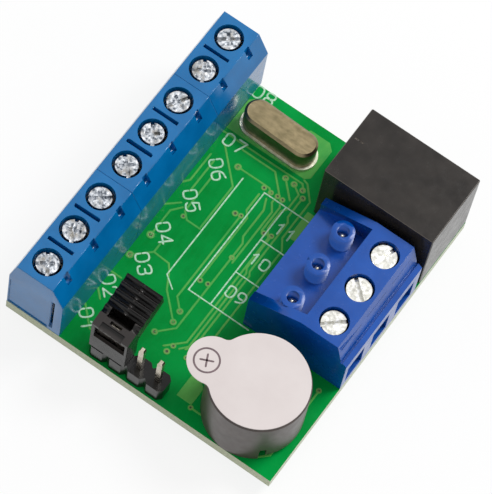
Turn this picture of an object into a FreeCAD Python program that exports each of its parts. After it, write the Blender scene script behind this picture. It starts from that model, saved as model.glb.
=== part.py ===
import FreeCAD, Part
import math
import os
import re

import Sketcher

# Access controller module: a bare circuit board with an eight-way signal terminal block,
# a three-way relay terminal block, a relay, a buzzer, a crystal and a pin header with a jumper.
# Places on the board are measured from its near left corner, and heights from its top face.

SIZES = [
    ("board_width", 36.7, "across X, from the signal terminals to the relay"),
    ("board_length", 40.3, "along Y"),
    ("board_thickness", 1.6, "laminate"),
    ("tail_length", 2.0, "solder tails below the board"),
    ("drill_gap", 0.1, "air round a tail in its hole"),
    ("terminal_pitch", 5.08, "from one wire terminal to the next"),
    ("thread_gap", 0.05, "radial running clearance of a screw in its thread"),
    ("signal_depth", 7.4, "signal housing across X"),
    ("signal_height", 10.6, "signal housing above the board"),
    ("signal_wall_height", 7.2, "upright part of the outer wall"),
    ("signal_lean", 0.9, "how far the outer wall leans in above that"),
    ("signal_top_reach", 5.8, "outer face to the end of the flat top"),
    ("signal_chamfer_foot", 7.7, "height of the chamfer's lower edge"),
    ("signal_line", 3.3, "outer face to the line of screws"),
    ("signal_bore", 3.5, "screw opening in the top"),
    ("signal_roof", 2.7, "thickness of the top above the metal"),
    ("signal_cavity_width", 3.9, "room for one contact, along Y"),
    ("signal_cavity_start", 1.2, "outer wall thickness"),
    ("signal_cavity_end", 6.5, "inner side of the room for a contact"),
    ("signal_entry_width", 3.6, "wire entry"),
    ("signal_entry_height", 3.8, "wire entry"),
    ("signal_entry_sill", 1.2, "wire entry above the board"),
    ("slit_width", 0.42, "slit between two ways"),
    ("slit_start", 1.5, "outer face to the slit"),
    ("slit_length", 3.5, "across X"),
    ("slit_depth", 1.4, "below the top"),
    ("notch_start", 5.65, "outer face to the small notch at the chamfer"),
    ("notch_length", 0.85, "across X"),
    ("notch_width", 0.85, "along Y"),
    ("notch_depth", 1.5, "below the top"),
    ("rib_depth", 0.25, "interlocking rib on the far end of a housing"),
    ("rib_gap", 0.05, "clearance of the rib in its groove"),
    ("rib_start", 5.85, "outer face to the rib"),
    ("rib_width", 0.5, "across X"),
    ("rib_bottom", 0.9, "rib above the board"),
    ("rib_top", 7.7, "upper end of the rib"),
    ("panel_depth", 0.12, "sunk panel on the near end of a housing"),
    ("panel_margin", 0.2, "rim beside the panel"),
    ("panel_outer_height", 6.3, "panel's upper edge at the outer wall"),
    ("panel_inner_height", 7.5, "panel's upper edge at the groove"),
    ("signal_metal", 0.7, "strip thickness of a contact"),
    ("signal_contact_width", 3.5, "along Y"),
    ("signal_contact_start", 1.5, "outer face to the contact"),
    ("signal_contact_end", 6.3, "outer face to the contact's back"),
    ("signal_contact_bottom", 0.5, "contact above the board"),
    ("signal_contact_top", 6.3, "contact's upper face"),
    ("signal_tail_width", 0.9, "across X"),
    ("signal_tail_thickness", 0.7, "along Y"),
    ("signal_head", 2.7, "screw head diameter"),
    ("signal_head_height", 1.5, "screw head"),
    ("signal_head_recess", 0.3, "head top below the housing's top"),
    ("signal_shank", 2.2, "screw shank diameter"),
    ("signal_shank_length", 3.5, "below the head"),
    ("screw_bevel", 0.25, "bevel at a screw's tip"),
    ("drive_slot_width", 0.45, "slot in a screw head"),
    ("drive_slot_depth", 0.5, "slot in a screw head"),
    ("drive_cross_length", 1.7, "short bar of the cross recess"),
    ("leaf_thickness", 0.35, "pressure leaf"),
    ("leaf_width", 3.0, "along Y"),
    ("leaf_length", 3.2, "across X"),
    ("leaf_gap", 0.03, "between a screw's tip and its leaf"),
    ("leaf_lip", 0.22, "upturned end of the leaf"),
    ("relay_block_place", 0.92, "relay to the relay terminal block"),
    ("relay_block_length", 15.48, "along Y"),
    ("relay_block_margin", 2.47, "near end to the first way"),
    ("relay_block_depth", 13.5, "across X"),
    ("relay_block_height", 9.8, "above the board"),
    ("relay_block_foot", 6.3, "floor of the bay that the bosses stand in"),
    ("relay_block_slope", 6.8, "run of the bay and its sloped end walls across X"),
    ("relay_block_ledge", 0.85, "ledge above the wire entries"),
    ("relay_block_bevel", 0.8, "run of the outer bevel"),
    ("relay_block_bevel_drop", 2.8, "height of the outer bevel"),
    ("ledge_groove_width", 0.25, "groove behind the ledge"),
    ("ledge_groove_depth", 0.5, "groove behind the ledge"),
    ("ledge_fall", 0.45, "slope of the ledge's top"),
    ("rim_thickness", 1.25, "end wall of the bay at the near end"),
    ("rim_rise", 0.65, "its lower end above the bay's floor"),
    ("flange_thickness", 1.05, "raised wall at the far end"),
    ("flange_rise", 1.35, "its lower end above the bay's floor"),
    ("relay_line", 9.7, "inner face to the line of relay terminal screws"),
    ("relay_bore", 3.5, "screw opening in the top"),
    ("relay_cavity_start", 7.6, "inner face to the room for a cage"),
    ("relay_cavity_end", 12.2, "inner face to the outer wall"),
    ("relay_cavity_width", 4.0, "room for one cage, along Y"),
    ("relay_roof", 1.2, "thickness of the top above the cages"),
    ("relay_entry_width", 3.3, "wire entry"),
    ("relay_entry_height", 3.7, "wire entry"),
    ("relay_entry_sill", 0.9, "wire entry above the board"),
    ("boss_line", 4.15, "inner face to the line of test holes"),
    ("boss_diameter", 2.75, "round boss of a test hole"),
    ("boss_top", 8.85, "height of the bosses"),
    ("test_bore", 1.5, "test hole"),
    ("test_bore_depth", 1.8, "down to the contact"),
    ("post_diameter", 1.0, "contact post under the test hole"),
    ("post_gap", 0.1, "air round the post"),
    ("post_drop", 0.2, "post's top below the floor of the test hole"),
    ("busbar_thickness", 0.5, "flat contact of a relay terminal"),
    ("busbar_level", 4.4, "underside above the board"),
    ("busbar_width", 2.3, "along Y"),
    ("busbar_start", 3.3, "inner face to the contact"),
    ("busbar_end", 11.5, "inner face to the contact's free end"),
    ("busbar_side_gap", 0.15, "air beside the contact in its channel"),
    ("relay_tail_width", 1.0, "across X"),
    ("relay_tail_thickness", 0.8, "along Y"),
    ("cage_width", 3.7, "along Y"),
    ("cage_wall", 0.5, "side walls of a rising cage"),
    ("cage_length", 3.8, "across X"),
    ("cage_bottom", 0.5, "above the board when open"),
    ("cage_plate", 0.7, "top and bottom plates of a cage"),
    ("cage_gap", 0.1, "between the busbar and a cage's top plate when open"),
    ("relay_head", 3.0, "screw head diameter"),
    ("relay_head_height", 1.05, "screw head"),
    ("relay_head_recess", 0.55, "head top below the housing's top"),
    ("relay_shank", 2.6, "screw shank diameter"),
    ("relay_slot_width", 0.5, "slot in a screw head"),
    ("relay_slot_depth", 0.55, "slot in a screw head"),
    ("relay_length", 14.95, "relay across X"),
    ("relay_width", 9.9, "relay along Y"),
    ("relay_height", 11.5, "relay above the board"),
    ("relay_wall", 0.5, "cover wall"),
    ("relay_standoff", 0.3, "cover above the board"),
    ("relay_edge", 0.12, "bevel of the cover's edges"),
    ("relay_base_thickness", 1.4, "relay base"),
    ("relay_base_gap", 0.05, "between cover and base"),
    ("coil_place", 6.0, "cover's left face to the coil axis"),
    ("bobbin_width", 6.6, "bobbin flanges"),
    ("bobbin_flange", 0.6, "bobbin flange thickness"),
    ("bobbin_bottom", 2.55, "above the board"),
    ("bobbin_top", 8.6, "above the board"),
    ("bobbin_tube", 1.7, "bobbin tube radius"),
    ("winding_radius", 3.2, "copper winding"),
    ("winding_gap", 0.05, "between winding and bobbin"),
    ("core_radius", 1.2, "iron core"),
    ("core_gap", 0.03, "air round the core"),
    ("pole_radius", 2.1, "pole face"),
    ("pole_top", 8.85, "height of the pole face"),
    ("yoke_thickness", 0.7, "iron yoke"),
    ("yoke_width", 6.0, "along Y"),
    ("yoke_place", 10.4, "cover's left face to the yoke's back"),
    ("yoke_top", 9.3, "upper end of the yoke"),
    ("armature_rise", 0.1, "armature above the yoke's upper end"),
    ("armature_thickness", 0.6, "iron armature"),
    ("armature_corner", 0.5, "cut corners of the armature"),
    ("armature_start", 3.3, "cover's left face to the armature"),
    ("armature_overhang", 0.3, "armature past the yoke's back"),
    ("spring_thickness", 0.15, "moving contact spring"),
    ("spring_start", 1.2, "cover's left face to the spring's free end"),
    ("spring_end", 8.0, "cover's left face to the spring's fixed end"),
    ("spring_width", 2.4, "along Y"),
    ("contact_place", 1.9, "cover's left face to the contact rivets"),
    ("contact_radius", 0.5, "contact rivets"),
    ("contact_rest_gap", 0.05, "moving rivet to the upper fixed rivet at rest"),
    ("moving_rivet_bottom", 9.5, "above the board"),
    ("fixed_rivet_height", 0.25, "fixed rivets"),
    ("lower_rivet_top", 8.85, "above the board"),
    ("strip_thickness", 0.3, "fixed contact strips"),
    ("strip_width", 1.4, "along Y"),
    ("strip_place", 0.8, "cover's left face to the strips"),
    ("strip_reach", 1.75, "strips across X"),
    ("relay_pin", 0.6, "square relay pins"),
    ("relay_pin_place", 2.05, "cover's right face to the coil pins"),
    ("relay_pin_spread", 7.3, "between the coil pins"),
    ("buzzer_x", 30.15, "left edge of the board to the buzzer axis"),
    ("buzzer_y", 5.95, "near edge of the board to the buzzer axis"),
    ("buzzer_radius", 5.95, "buzzer case"),
    ("buzzer_height", 8.35, "buzzer case above the board"),
    ("buzzer_bore", 4.5, "case inside, below the ledge"),
    ("buzzer_chamber", 4.95, "case inside, above the ledge"),
    ("buzzer_ledge", 6.5, "ledge for the diaphragm above the board"),
    ("buzzer_roof", 1.0, "top wall"),
    ("sound_hole", 1.0, "radius of the sound hole"),
    ("buzzer_rim", 0.3, "chamfer round the top"),
    ("buzzer_base_bottom", 0.3, "sealing disc above the board"),
    ("buzzer_base_thickness", 0.9, "sealing disc"),
    ("buzzer_fit", 0.08, "clearance of the inner discs in the case"),
    ("buzzer_pin_radius", 0.3, "buzzer pins"),
    ("buzzer_pin_spread", 7.6, "between the buzzer pins"),
    ("buzzer_yoke_thickness", 0.8, "iron base plate of the buzzer"),
    ("buzzer_pole_radius", 1.1, "iron pole"),
    ("buzzer_pole_top", 6.1, "pole above the board"),
    ("magnet_wall", 0.9, "ring magnet"),
    ("magnet_height", 3.5, "ring magnet"),
    ("buzzer_coil_radius", 2.9, "buzzer coil"),
    ("buzzer_coil_height", 3.3, "buzzer coil"),
    ("diaphragm_thickness", 0.12, "steel diaphragm"),
    ("diaphragm_weight_radius", 1.6, "weight on the diaphragm"),
    ("diaphragm_weight_height", 0.4, "weight on the diaphragm"),
    ("foot_notch_width", 0.8, "notch in the case's foot"),
    ("foot_notch_height", 2.4, "notch in the case's foot"),
    ("foot_notch_angle", -46, "direction of the notch, from +X"),
    ("foot_step_height", 0.9, "raised part of the foot, beside the notch"),
    ("foot_step_end_angle", 35, "direction where the raised part ends, from +X"),
    ("seal_radius", 5.8, "seal label"),
    ("seal_thickness", 0.12, "seal label"),
    ("seal_tab_radius", 2.94, "pull tab of the label"),
    ("seal_tab_reach", 5.77, "buzzer axis to the tab's centre"),
    ("seal_tab_angle", 191.5, "direction of the tab, from +X"),
    ("seal_neck_radius", 1.0, "rounding where the tab meets the disc"),
    ("crystal_x", 13.25, "left edge of the board to the crystal's middle"),
    ("crystal_y", 4.6, "far edge of the board to the crystal's middle"),
    ("crystal_angle", -2, "turned on the board"),
    ("crystal_length", 9.9, "can"),
    ("crystal_width", 3.45, "can"),
    ("crystal_height", 3.5, "can above the board"),
    ("crystal_wall", 0.2, "can wall"),
    ("crystal_edge", 0.3, "bevel of the can's top"),
    ("crystal_rim", 0.3, "flange beyond the can"),
    ("crystal_base_height", 0.45, "flange"),
    ("crystal_lead_radius", 0.22, "leads"),
    ("crystal_lead_spread", 4.88, "between the leads"),
    ("crystal_post_height", 0.5, "leads above the flange"),
    ("blank_length", 6.4, "quartz blank"),
    ("blank_width", 1.8, "quartz blank"),
    ("blank_thickness", 0.15, "quartz blank"),
    ("header_x", 12.3, "left edge of the board to the first pin"),
    ("header_y", 1.52, "near edge of the board to the row of pins"),
    ("header_pitch", 2.54, "between header pins"),
    ("header_width", 2.5, "header body across the row"),
    ("header_height", 2.5, "header body"),
    ("header_notch", 0.5, "notches between its ways"),
    ("pin_width", 0.64, "square header pins"),
    ("pin_top", 7.6, "pins above the board"),
    ("pin_tip", 0.35, "tapered end of the pins"),
    ("pin_taper", 20, "slope of the tapered end, in degrees"),
    ("jumper_width", 4.9, "jumper along the row"),
    ("jumper_depth", 2.4, "jumper socket across the row"),
    ("jumper_seat", 0.1, "between header and jumper"),
    ("jumper_top", 8.5, "socket above the board"),
    ("grip_reach", 6.7, "grip past the socket's front"),
    ("grip_rise", 1.9, "how much the grip climbs over that reach"),
    ("grip_thickness", 2.2, "grip at its end"),
    ("rib_spacing", 1.02, "between the ribs of the grip"),
    ("rib_height", 0.35, "ribs of the grip"),
    ("jumper_wall", 0.42, "socket wall"),
    ("jumper_recess", 0.35, "lower front half of the socket's top"),
    ("jumper_slit_length", 1.5, "slit over the contact, along the row"),
    ("jumper_slit_width", 0.4, "slit over the contact, across the row"),
    ("clip_thickness", 0.2, "metal of the jumper's contact"),
    ("clip_gap", 0.04, "between contact and pin"),
    ("clip_roof", 7.72, "underside of the contact's bridge"),
    ("clip_length", 3.9, "contact along the row"),
    ("vent_length", 1.2, "vent mark on the cover"),
    ("vent_width", 0.25, "vent mark on the cover"),
    ("vent_depth", 0.12, "vent mark on the cover"),
    ("solder_radius", 0.9, "solder joint at the board"),
    ("solder_tip_radius", 0.58, "solder joint at its lower end"),
    ("solder_height", 0.8, "solder joint"),
    ("layout_step", 1.0, "grid that the parts under the board are laid out on"),
    ("chip_x", 0.65, "board's middle to the controller chip's middle"),
    ("chip_y", 0.35, "board's middle to the controller chip's middle"),
    ("chip_length", 8.7, "controller chip along Y"),
    ("chip_width", 3.9, "controller chip across X"),
    ("chip_height", 1.45, "controller chip"),
    ("chip_standoff", 0.1, "under the packages"),
    ("chip_bevel", 0.2, "bevel round the chip's face"),
    ("chip_mark", 0.8, "round mark at its first lead"),
    ("chip_mark_depth", 0.1, "round mark at its first lead"),
    ("chip_mark_margin", 0.5, "edge of the chip to the mark"),
    ("chip_pitch", 1.27, "between its leads"),
    ("lead_width", 0.4, "chip leads"),
    ("lead_thickness", 0.18, "chip leads"),
    ("lead_reach", 1.05, "chip leads beyond the body"),
    ("regulator_length", 4.5, "voltage regulator along X"),
    ("regulator_width", 2.6, "voltage regulator along Y"),
    ("regulator_height", 1.5, "voltage regulator"),
    ("regulator_lead_spacing", 1.5, "between its leads"),
    ("transistor_length", 2.9, "transistors along X"),
    ("transistor_width", 1.4, "transistors along Y"),
    ("transistor_height", 1.0, "transistors"),
    ("transistor_lead_spacing", 1.9, "between the two leads on one side"),
    ("diode_length", 2.8, "diodes along X"),
    ("diode_width", 1.7, "diodes along Y"),
    ("diode_height", 1.1, "diodes"),
    ("passive_length", 2.0, "chip resistors and capacitors along X"),
    ("passive_width", 1.25, "chip resistors and capacitors along Y"),
    ("resistor_height", 0.5, "chip resistors"),
    ("capacitor_height", 0.9, "chip capacitors"),
]

NAMES = {name for name, value, note in SIZES}
SIGNAL_WAYS = 8
RELAY_WAYS = 3
HEADER_PINS = 4
GRIP_RIBS = 5
CHIP_LEADS_PER_SIDE = 7
SMALL = 0.001

# Flats of round parts that are hidden or very thin
PIN_SIDES = 8
SHANK_SIDES = 12
RING_SIDES = 16

# Turn of each screw's slot in the photographed state, in degrees from +X
SIGNAL_SCREW_TURNS = (125, 112, 40, 135, 125, 60, 118, 38)
RELAY_SCREW_TURNS = (43, 138, 73)

# Middles of the small parts under the board in layout steps, from the board's middle
REGULATOR = [(-6.3, 6.8)]
TRANSISTORS = [(-5.8, -9.6)]
DIODES = [(2.2, 12.8), (-6.3, -5.6)]
RESISTORS = [(-7.7, -1.2), (-7.7, 0.7), (-7.7, 2.6), (-1.9, -7.6), (1.3, -7.6)]
CAPACITORS = [(-2.3, 7.4), (-0.7, 10.0), (2.4, 8.0), (-3.7, 12.2)]

# The same for the parts beside the relay terminal block's tails, with X from that block's inner face
BLOCK_TRANSISTORS = [(0.8, 6.6), (1.0, -7.6)]
BLOCK_RESISTORS = [(2.2, -2.8), (2.2, -0.9), (2.2, 1.0), (2.2, 2.9)]

# Values worked out from the sizes, written as formulas
ORIGIN_X = "(board_width / 2)"
ORIGIN_Y = "((%d * terminal_pitch + rib_depth) / 2)" % SIGNAL_WAYS
BOARD_TOP = "(tail_length + board_thickness)"
TAIL_END = "(-(board_thickness + tail_length))"
RELAY_BLOCK_X = "(board_width - relay_block_depth)"
RELAY_X = "(board_width - relay_length)"
RELAY_Y = "(board_length - relay_width)"
RELAY_BLOCK_Y = "(%s - relay_block_place - relay_block_length)" % RELAY_Y
RELAY_PIN_X = "(relay_length - relay_pin_place)"
CRYSTAL_Y = "(board_length - crystal_y)"

doc = FreeCAD.newDocument("access_controller")
sheet = doc.addObject("Spreadsheet::Sheet", "Sizes")
pieces = []


# Helpers


def fill_sheet():
    """Write every driving size into the sheet under its own name."""
    for row, (name, value, note) in enumerate(SIZES, 1):
        sheet.set("A%d" % row, name)
        sheet.set("B%d" % row, str(value))
        sheet.setAlias("B%d" % row, name)
        sheet.set("C%d" % row, note)
    doc.recompute()


def formula(text):
    """Turn the size names in a formula into references to the sheet."""
    return re.sub(r"[a-z_]+", lambda m: "Sizes." + m.group(0) if m.group(0) in NAMES else m.group(0), text)


def bind(thing, path, text):
    """Tie a property to a formula of sizes."""
    thing.setExpression(path, formula(text))


def finish(thing, label, x, y, z="0"):
    """Seat a finished piece on the board and keep it under its own label."""
    thing.Label = label
    bind(thing, ".Placement.Base.x", "%s - %s" % (x, ORIGIN_X))
    bind(thing, ".Placement.Base.y", "%s - %s" % (y, ORIGIN_Y))
    bind(thing, ".Placement.Base.z", "%s + %s" % (z, BOARD_TOP))
    pieces.append(thing)
    return thing


def move(thing, x="0", y="0", z="0"):
    """Place a construction solid within its piece."""
    for axis, text in zip("xyz", (x, y, z)):
        bind(thing, ".Placement.Base." + axis, text)
    return thing


def box(length, width, height, x="0", y="0", z="0"):
    """A box from its low corner."""
    solid = doc.addObject("Part::Box", "box")
    bind(solid, "Length", length)
    bind(solid, "Width", width)
    bind(solid, "Height", height)
    return move(solid, x, y, z)


def middle_box(length, width, height, x="0", y="0", z="0"):
    """A box centred on x and y that stands on z."""
    return box(length, width, height, "%s - (%s) / 2" % (x, length), "%s - (%s) / 2" % (y, width), z)


def frustum(low, high, height, x="0", y="0", z="0", angle=0):
    """An upright square block whose half width changes on the way up, turned about its own axis."""
    wedge = doc.addObject("Part::Wedge", "frustum")
    for half, sides in ((low, ("X", "Z")), (high, ("X2", "Z2"))):
        for side in sides:
            bind(wedge, side + "min", "-(%s)" % half)
            bind(wedge, side + "max", half)
    bind(wedge, "Ymax", height)
    wedge.Placement.Rotation = FreeCAD.Rotation(angle, 0, 90)
    return move(wedge, x, y, z)


def cylinder(radius, height, x="0", y="0", z="0"):
    """An upright cylinder that stands on z."""
    solid = doc.addObject("Part::Cylinder", "cylinder")
    bind(solid, "Radius", radius)
    bind(solid, "Height", height)
    return move(solid, x, y, z)


def prism(radius, height, x="0", y="0", z="0", sides=SHANK_SIDES):
    """An upright bar with flats, whose corners reach a radius."""
    solid = doc.addObject("Part::Prism", "prism")
    solid.Polygon = sides
    bind(solid, "Circumradius", radius)
    bind(solid, "Height", height)
    return move(solid, x, y, z)


def reach_round(radius, sides):
    """How far a polygon's corners reach when its flats clear a radius."""
    return "((%s) / cos(%g))" % (radius, 180 / sides)


def cut(base, *tools):
    """Take each tool away from the base."""
    for tool in tools:
        result = doc.addObject("Part::Cut", "cut")
        result.Base = base
        result.Tool = tool
        base = result
    return base


def fuse(*solids):
    """Join solids that belong to one piece."""
    result = doc.addObject("Part::MultiFuse", "fuse")
    result.Shapes = list(solids)
    result.Refine = True
    return result


def group(solids):
    """Keep separate solids together in one piece."""
    result = doc.addObject("Part::Compound", "group")
    result.Links = list(solids)
    return result


def new_body(name):
    """Start a piece made of sketches and features."""
    return doc.addObject("PartDesign::Body", name)


def origin_feature(body, role):
    """Find one of the body's own origin planes or axes."""
    for feature in body.Origin.OriginFeatures:
        if feature.Role == role:
            return feature
    raise ValueError("no origin feature " + role)


def sketch(body, name, plane, offset="0"):
    """Attach an empty sketch to an origin plane, lifted along its normal."""
    result = body.newObject("Sketcher::SketchObject", name)
    result.AttachmentSupport = [(origin_feature(body, plane), "")]
    result.MapMode = "FlatFace"
    bind(result, ".AttachmentOffset.Base.z", offset)
    return result


def pin_point(target, geometry, vertex, x, y, start):
    """Fix one point of a sketch at formulas of sizes."""
    for kind, text, value in (("DistanceX", x, start[0]), ("DistanceY", y, start[1])):
        index = target.addConstraint(Sketcher.Constraint(kind, -1, 1, geometry, vertex, value))
        bind(target, "Constraints[%d]" % index, text)


def draw_outline(target, corners):
    """Draw a closed outline through corners; it starts as a ring that its dimensions pull into place."""
    count = len(corners)
    first = target.GeometryCount
    ring = [(10 + math.cos(2 * math.pi * i / count), 10 + math.sin(2 * math.pi * i / count))
            for i in range(count)]
    for i in range(count):
        start = FreeCAD.Vector(*ring[i], 0)
        end = FreeCAD.Vector(*ring[(i + 1) % count], 0)
        target.addGeometry(Part.LineSegment(start, end), False)
    for i in range(count):
        target.addConstraint(Sketcher.Constraint("Coincident", first + i, 2, first + (i + 1) % count, 1))
    for i, (x, y) in enumerate(corners):
        pin_point(target, first + i, 1, x, y, ring[i])
    return target


def rectangle(x0, y0, x1, y1):
    """Corners of a rectangle."""
    return [(x0, y0), (x1, y0), (x1, y1), (x0, y1)]


def draw_circle(target, x, y, diameter):
    """Draw a circle at formulas of sizes."""
    start = FreeCAD.Vector(1, 1, 0)
    circle = target.addGeometry(Part.Circle(start, FreeCAD.Vector(0, 0, 1), start.x), False)
    pin_point(target, circle, 3, x, y, (start.x, start.y))
    width = target.addConstraint(Sketcher.Constraint("Diameter", circle, 2 * start.x))
    bind(target, "Constraints[%d]" % width, diameter)
    return target


def draw_polygon(target, x, y, radius, sides=SHANK_SIDES):
    """Draw a regular outline whose corners reach a radius."""
    corners = []
    for number in range(sides):
        angle = 360 * number / sides
        corners.append(("%s + (%s) * cos(%g)" % (x, radius, angle),
                        "%s + (%s) * sin(%g)" % (y, radius, angle)))
    return draw_outline(target, corners)


def pad(body, profile, length, backwards=False):
    """Add material along a sketch's normal."""
    feature = body.newObject("PartDesign::Pad", "pad")
    feature.Profile = profile
    bind(feature, "Length", length)
    feature.Reversed = backwards
    return feature


def pocket(body, profile, length, backwards=False):
    """Take material away, and make sure that some went."""
    doc.recompute()
    before = body.Shape.Volume
    feature = body.newObject("PartDesign::Pocket", "pocket")
    feature.Profile = profile
    bind(feature, "Length", length)
    feature.Reversed = backwards
    doc.recompute()
    if not body.Shape.Volume < before:
        raise ValueError("a pocket cuts nothing in " + body.Name)
    return feature


def repeat(body, features, axis, step, count):
    """Repeat features in a row, so that the last stands (count - 1) steps from the first."""
    pattern = body.newObject("PartDesign::LinearPattern", "row")
    pattern.Originals = list(features)
    pattern.Direction = (origin_feature(body, axis), [""])
    bind(pattern, "Length", "%d * (%s)" % (count - 1, step))
    pattern.Occurrences = count
    body.Tip = pattern
    return pattern


def bevel(body, feature, wanted, amount):
    """Bevel the edges of a body that a test accepts."""
    doc.recompute()
    result = body.newObject("PartDesign::Chamfer", "bevel")
    result.Base = (feature, edges_where(body.Shape, wanted))
    bind(result, "Size", amount)
    return result


def revolve(body, profile):
    """Turn a sketch on the XZ plane once round the body's Z axis."""
    feature = body.newObject("PartDesign::Revolution", "revolution")
    feature.Profile = profile
    feature.ReferenceAxis = (profile, ["V_Axis"])
    feature.Angle = 360
    return feature


def turn(thing, angle):
    """Turn a finished piece about its own upright axis, by a size or by degrees."""
    thing.Placement.Rotation = FreeCAD.Rotation(FreeCAD.Vector(0, 0, 1), 1)
    bind(thing, ".Placement.Rotation.Angle", str(angle))


def edges_where(shape, wanted):
    """Names of the edges that a test accepts."""
    return ["Edge%d" % (i + 1) for i, edge in enumerate(shape.Edges) if wanted(edge)]


def size(name):
    """One driving size as a number."""
    return float(sheet.get(name))


def signal_y(way):
    """Near edge of the board to a signal terminal's middle."""
    return "terminal_pitch * %g" % (way + 0.5)


def relay_terminal_y(way):
    """Near edge of the board to a relay terminal's middle."""
    return "(%s + relay_block_margin + terminal_pitch * %d)" % (RELAY_BLOCK_Y, way)


# Circuit board


def drill_for(width, thickness):
    """How far the corners of a tail's drilled hole reach."""
    half = "(%s) / 2" % width if thickness is None else "sqrt((%s)^2 + (%s)^2) / 2" % (width, thickness)
    return reach_round(half + " + drill_gap", PIN_SIDES)


def relay_pin_spots():
    """Where the relay's five pins stand: two coil pins, the common pin and two contact strips."""
    across = "%s + %s" % (RELAY_X, RELAY_PIN_X)
    along = "%s + relay_width / 2" % RELAY_Y
    strips = "%s + strip_place + strip_thickness / 2" % RELAY_X
    return [
        (across, along + " - relay_pin_spread / 2"),
        (across, along + " + relay_pin_spread / 2"),
        (across, along),
        (strips, along),
        (strips, along + " + spring_width / 2 + strip_width + strip_width / 2"),
    ]


def crystal_lead_spots():
    """Where the crystal's two leads stand."""
    reach = "crystal_lead_spread / 2"
    return [("crystal_x %s %s * cos(crystal_angle)" % (sign, reach),
             "%s %s %s * sin(crystal_angle)" % (CRYSTAL_Y, sign, reach)) for sign in "-+"]


def tail_spots():
    """Every solder tail, as x, y, width across X and thickness along Y (round ones give None)."""
    spots = []
    for way in range(SIGNAL_WAYS):
        spots.append(("signal_line", signal_y(way), "signal_tail_width", "signal_tail_thickness"))
    for way in range(RELAY_WAYS):
        spots.append((RELAY_BLOCK_X + " + boss_line", relay_terminal_y(way),
                      "relay_tail_width", "relay_tail_thickness"))
    for number, (x, y) in enumerate(relay_pin_spots()):
        if number < 3:
            spots.append((x, y, "relay_pin", "relay_pin"))
        else:
            spots.append((x, y, "strip_thickness", "strip_width"))
    for number in range(HEADER_PINS):
        spots.append(("header_x + header_pitch * %d" % number, "header_y", "pin_width", "pin_width"))
    for x, y in crystal_lead_spots():
        spots.append((x, y, "crystal_lead_radius * 2", None))
    for sign in "-+":
        spots.append(("buzzer_x", "buzzer_y %s buzzer_pin_spread / 2" % sign, "buzzer_pin_radius * 2", None))
    return spots


def make_board():
    """The laminate, with a drilled hole for every tail."""
    laminate = box("board_width", "board_length", "board_thickness", z="-board_thickness")
    drills = [prism(drill_for(width, thickness), "board_thickness * 2", x, y,
                    "-board_thickness * 1.5", PIN_SIDES)
              for x, y, width, thickness in tail_spots()]
    finish(cut(laminate, group(drills)), "board", "0", "0")


def make_solder_joints():
    """An eight-sided cone of solder round every tail, under the board."""
    joints = []
    for x, y, width, thickness in tail_spots():
        cone = doc.addObject("Part::MultiCommon", "solder_cone")
        cone.Shapes = [frustum("solder_tip_radius", "solder_radius", "solder_height", x, y,
                               "-(board_thickness + solder_height)", angle) for angle in (0, 45)]
        start = "-(board_thickness + solder_height * 1.5)"
        if thickness is None:
            tail = prism("(%s) / 2" % width, "solder_height * 2", x, y, start, PIN_SIDES)
        else:
            tail = middle_box(width, thickness, "solder_height * 2", x, y, start)
        joints.append(cut(cone, tail))
    finish(group(joints), "solder_joints", "0", "0")


# Signal terminal block: three housings that hook into each other, with eight ways in all


def make_signal_housing(label, first_way, ways):
    """One moulded housing with its wire entries, screw openings, slits, notches, groove and rib."""
    body = new_body("signal_housing")
    length = "(%d * terminal_pitch)" % ways
    profile = draw_outline(sketch(body, "section", "XZ_Plane"), [
        ("0", "0"), ("0", "signal_wall_height"), ("signal_lean", "signal_height"),
        ("signal_top_reach", "signal_height"), ("signal_depth", "signal_chamfer_foot"),
        ("signal_depth", "0")])
    pad(body, profile, length, backwards=True)
    middle = "terminal_pitch / 2"

    cavity = draw_outline(sketch(body, "metal_room", "XY_Plane"), rectangle(
        "signal_cavity_start", middle + " - signal_cavity_width / 2",
        "signal_cavity_end", middle + " + signal_cavity_width / 2"))
    room = pocket(body, cavity, "signal_height - signal_roof", backwards=True)
    opening = draw_circle(sketch(body, "screw_opening", "XY_Plane", "signal_height"),
                          "signal_line", middle, "signal_bore")
    bore = pocket(body, opening, "signal_roof")
    doorway = draw_outline(sketch(body, "wire_entry", "YZ_Plane"), rectangle(
        middle + " - signal_entry_width / 2", "signal_entry_sill",
        middle + " + signal_entry_width / 2", "signal_entry_sill + signal_entry_height"))
    entry = pocket(body, doorway, "signal_cavity_start", backwards=True)
    corner = draw_outline(sketch(body, "notch", "XY_Plane", "signal_height"), rectangle(
        "notch_start", middle + " - notch_width / 2",
        "notch_start + notch_length", middle + " + notch_width / 2"))
    notch = pocket(body, corner, "notch_depth")
    repeat(body, [room, bore, entry, notch], "Y_Axis", "terminal_pitch", ways)

    for gap in range(1, ways):
        line = "%d * terminal_pitch" % gap
        slit = draw_outline(sketch(body, "slit", "XY_Plane", "signal_height"), rectangle(
            "slit_start", line + " - slit_width / 2", "slit_start + slit_length", line + " + slit_width / 2"))
        pocket(body, slit, "slit_depth")
    panel = draw_outline(sketch(body, "end_panel", "XZ_Plane"), [
        ("panel_margin", "panel_margin"), ("panel_margin", "panel_outer_height"),
        ("rib_start - panel_margin", "panel_inner_height"), ("rib_start - panel_margin", "panel_margin")])
    pocket(body, panel, "panel_depth")
    groove = draw_outline(sketch(body, "end_groove", "XZ_Plane"), rectangle(
        "rib_start", "rib_bottom - rib_gap", "rib_start + rib_width", "rib_top + rib_gap"))
    pocket(body, groove, "rib_depth + rib_gap")
    rib = draw_outline(sketch(body, "end_rib", "XZ_Plane", "-" + length), rectangle(
        "rib_start + rib_gap", "rib_bottom", "rib_start + rib_width - rib_gap", "rib_top"))
    pad(body, rib, "rib_depth", backwards=True)
    finish(body, label, "0", "%d * terminal_pitch" % first_way)


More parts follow.
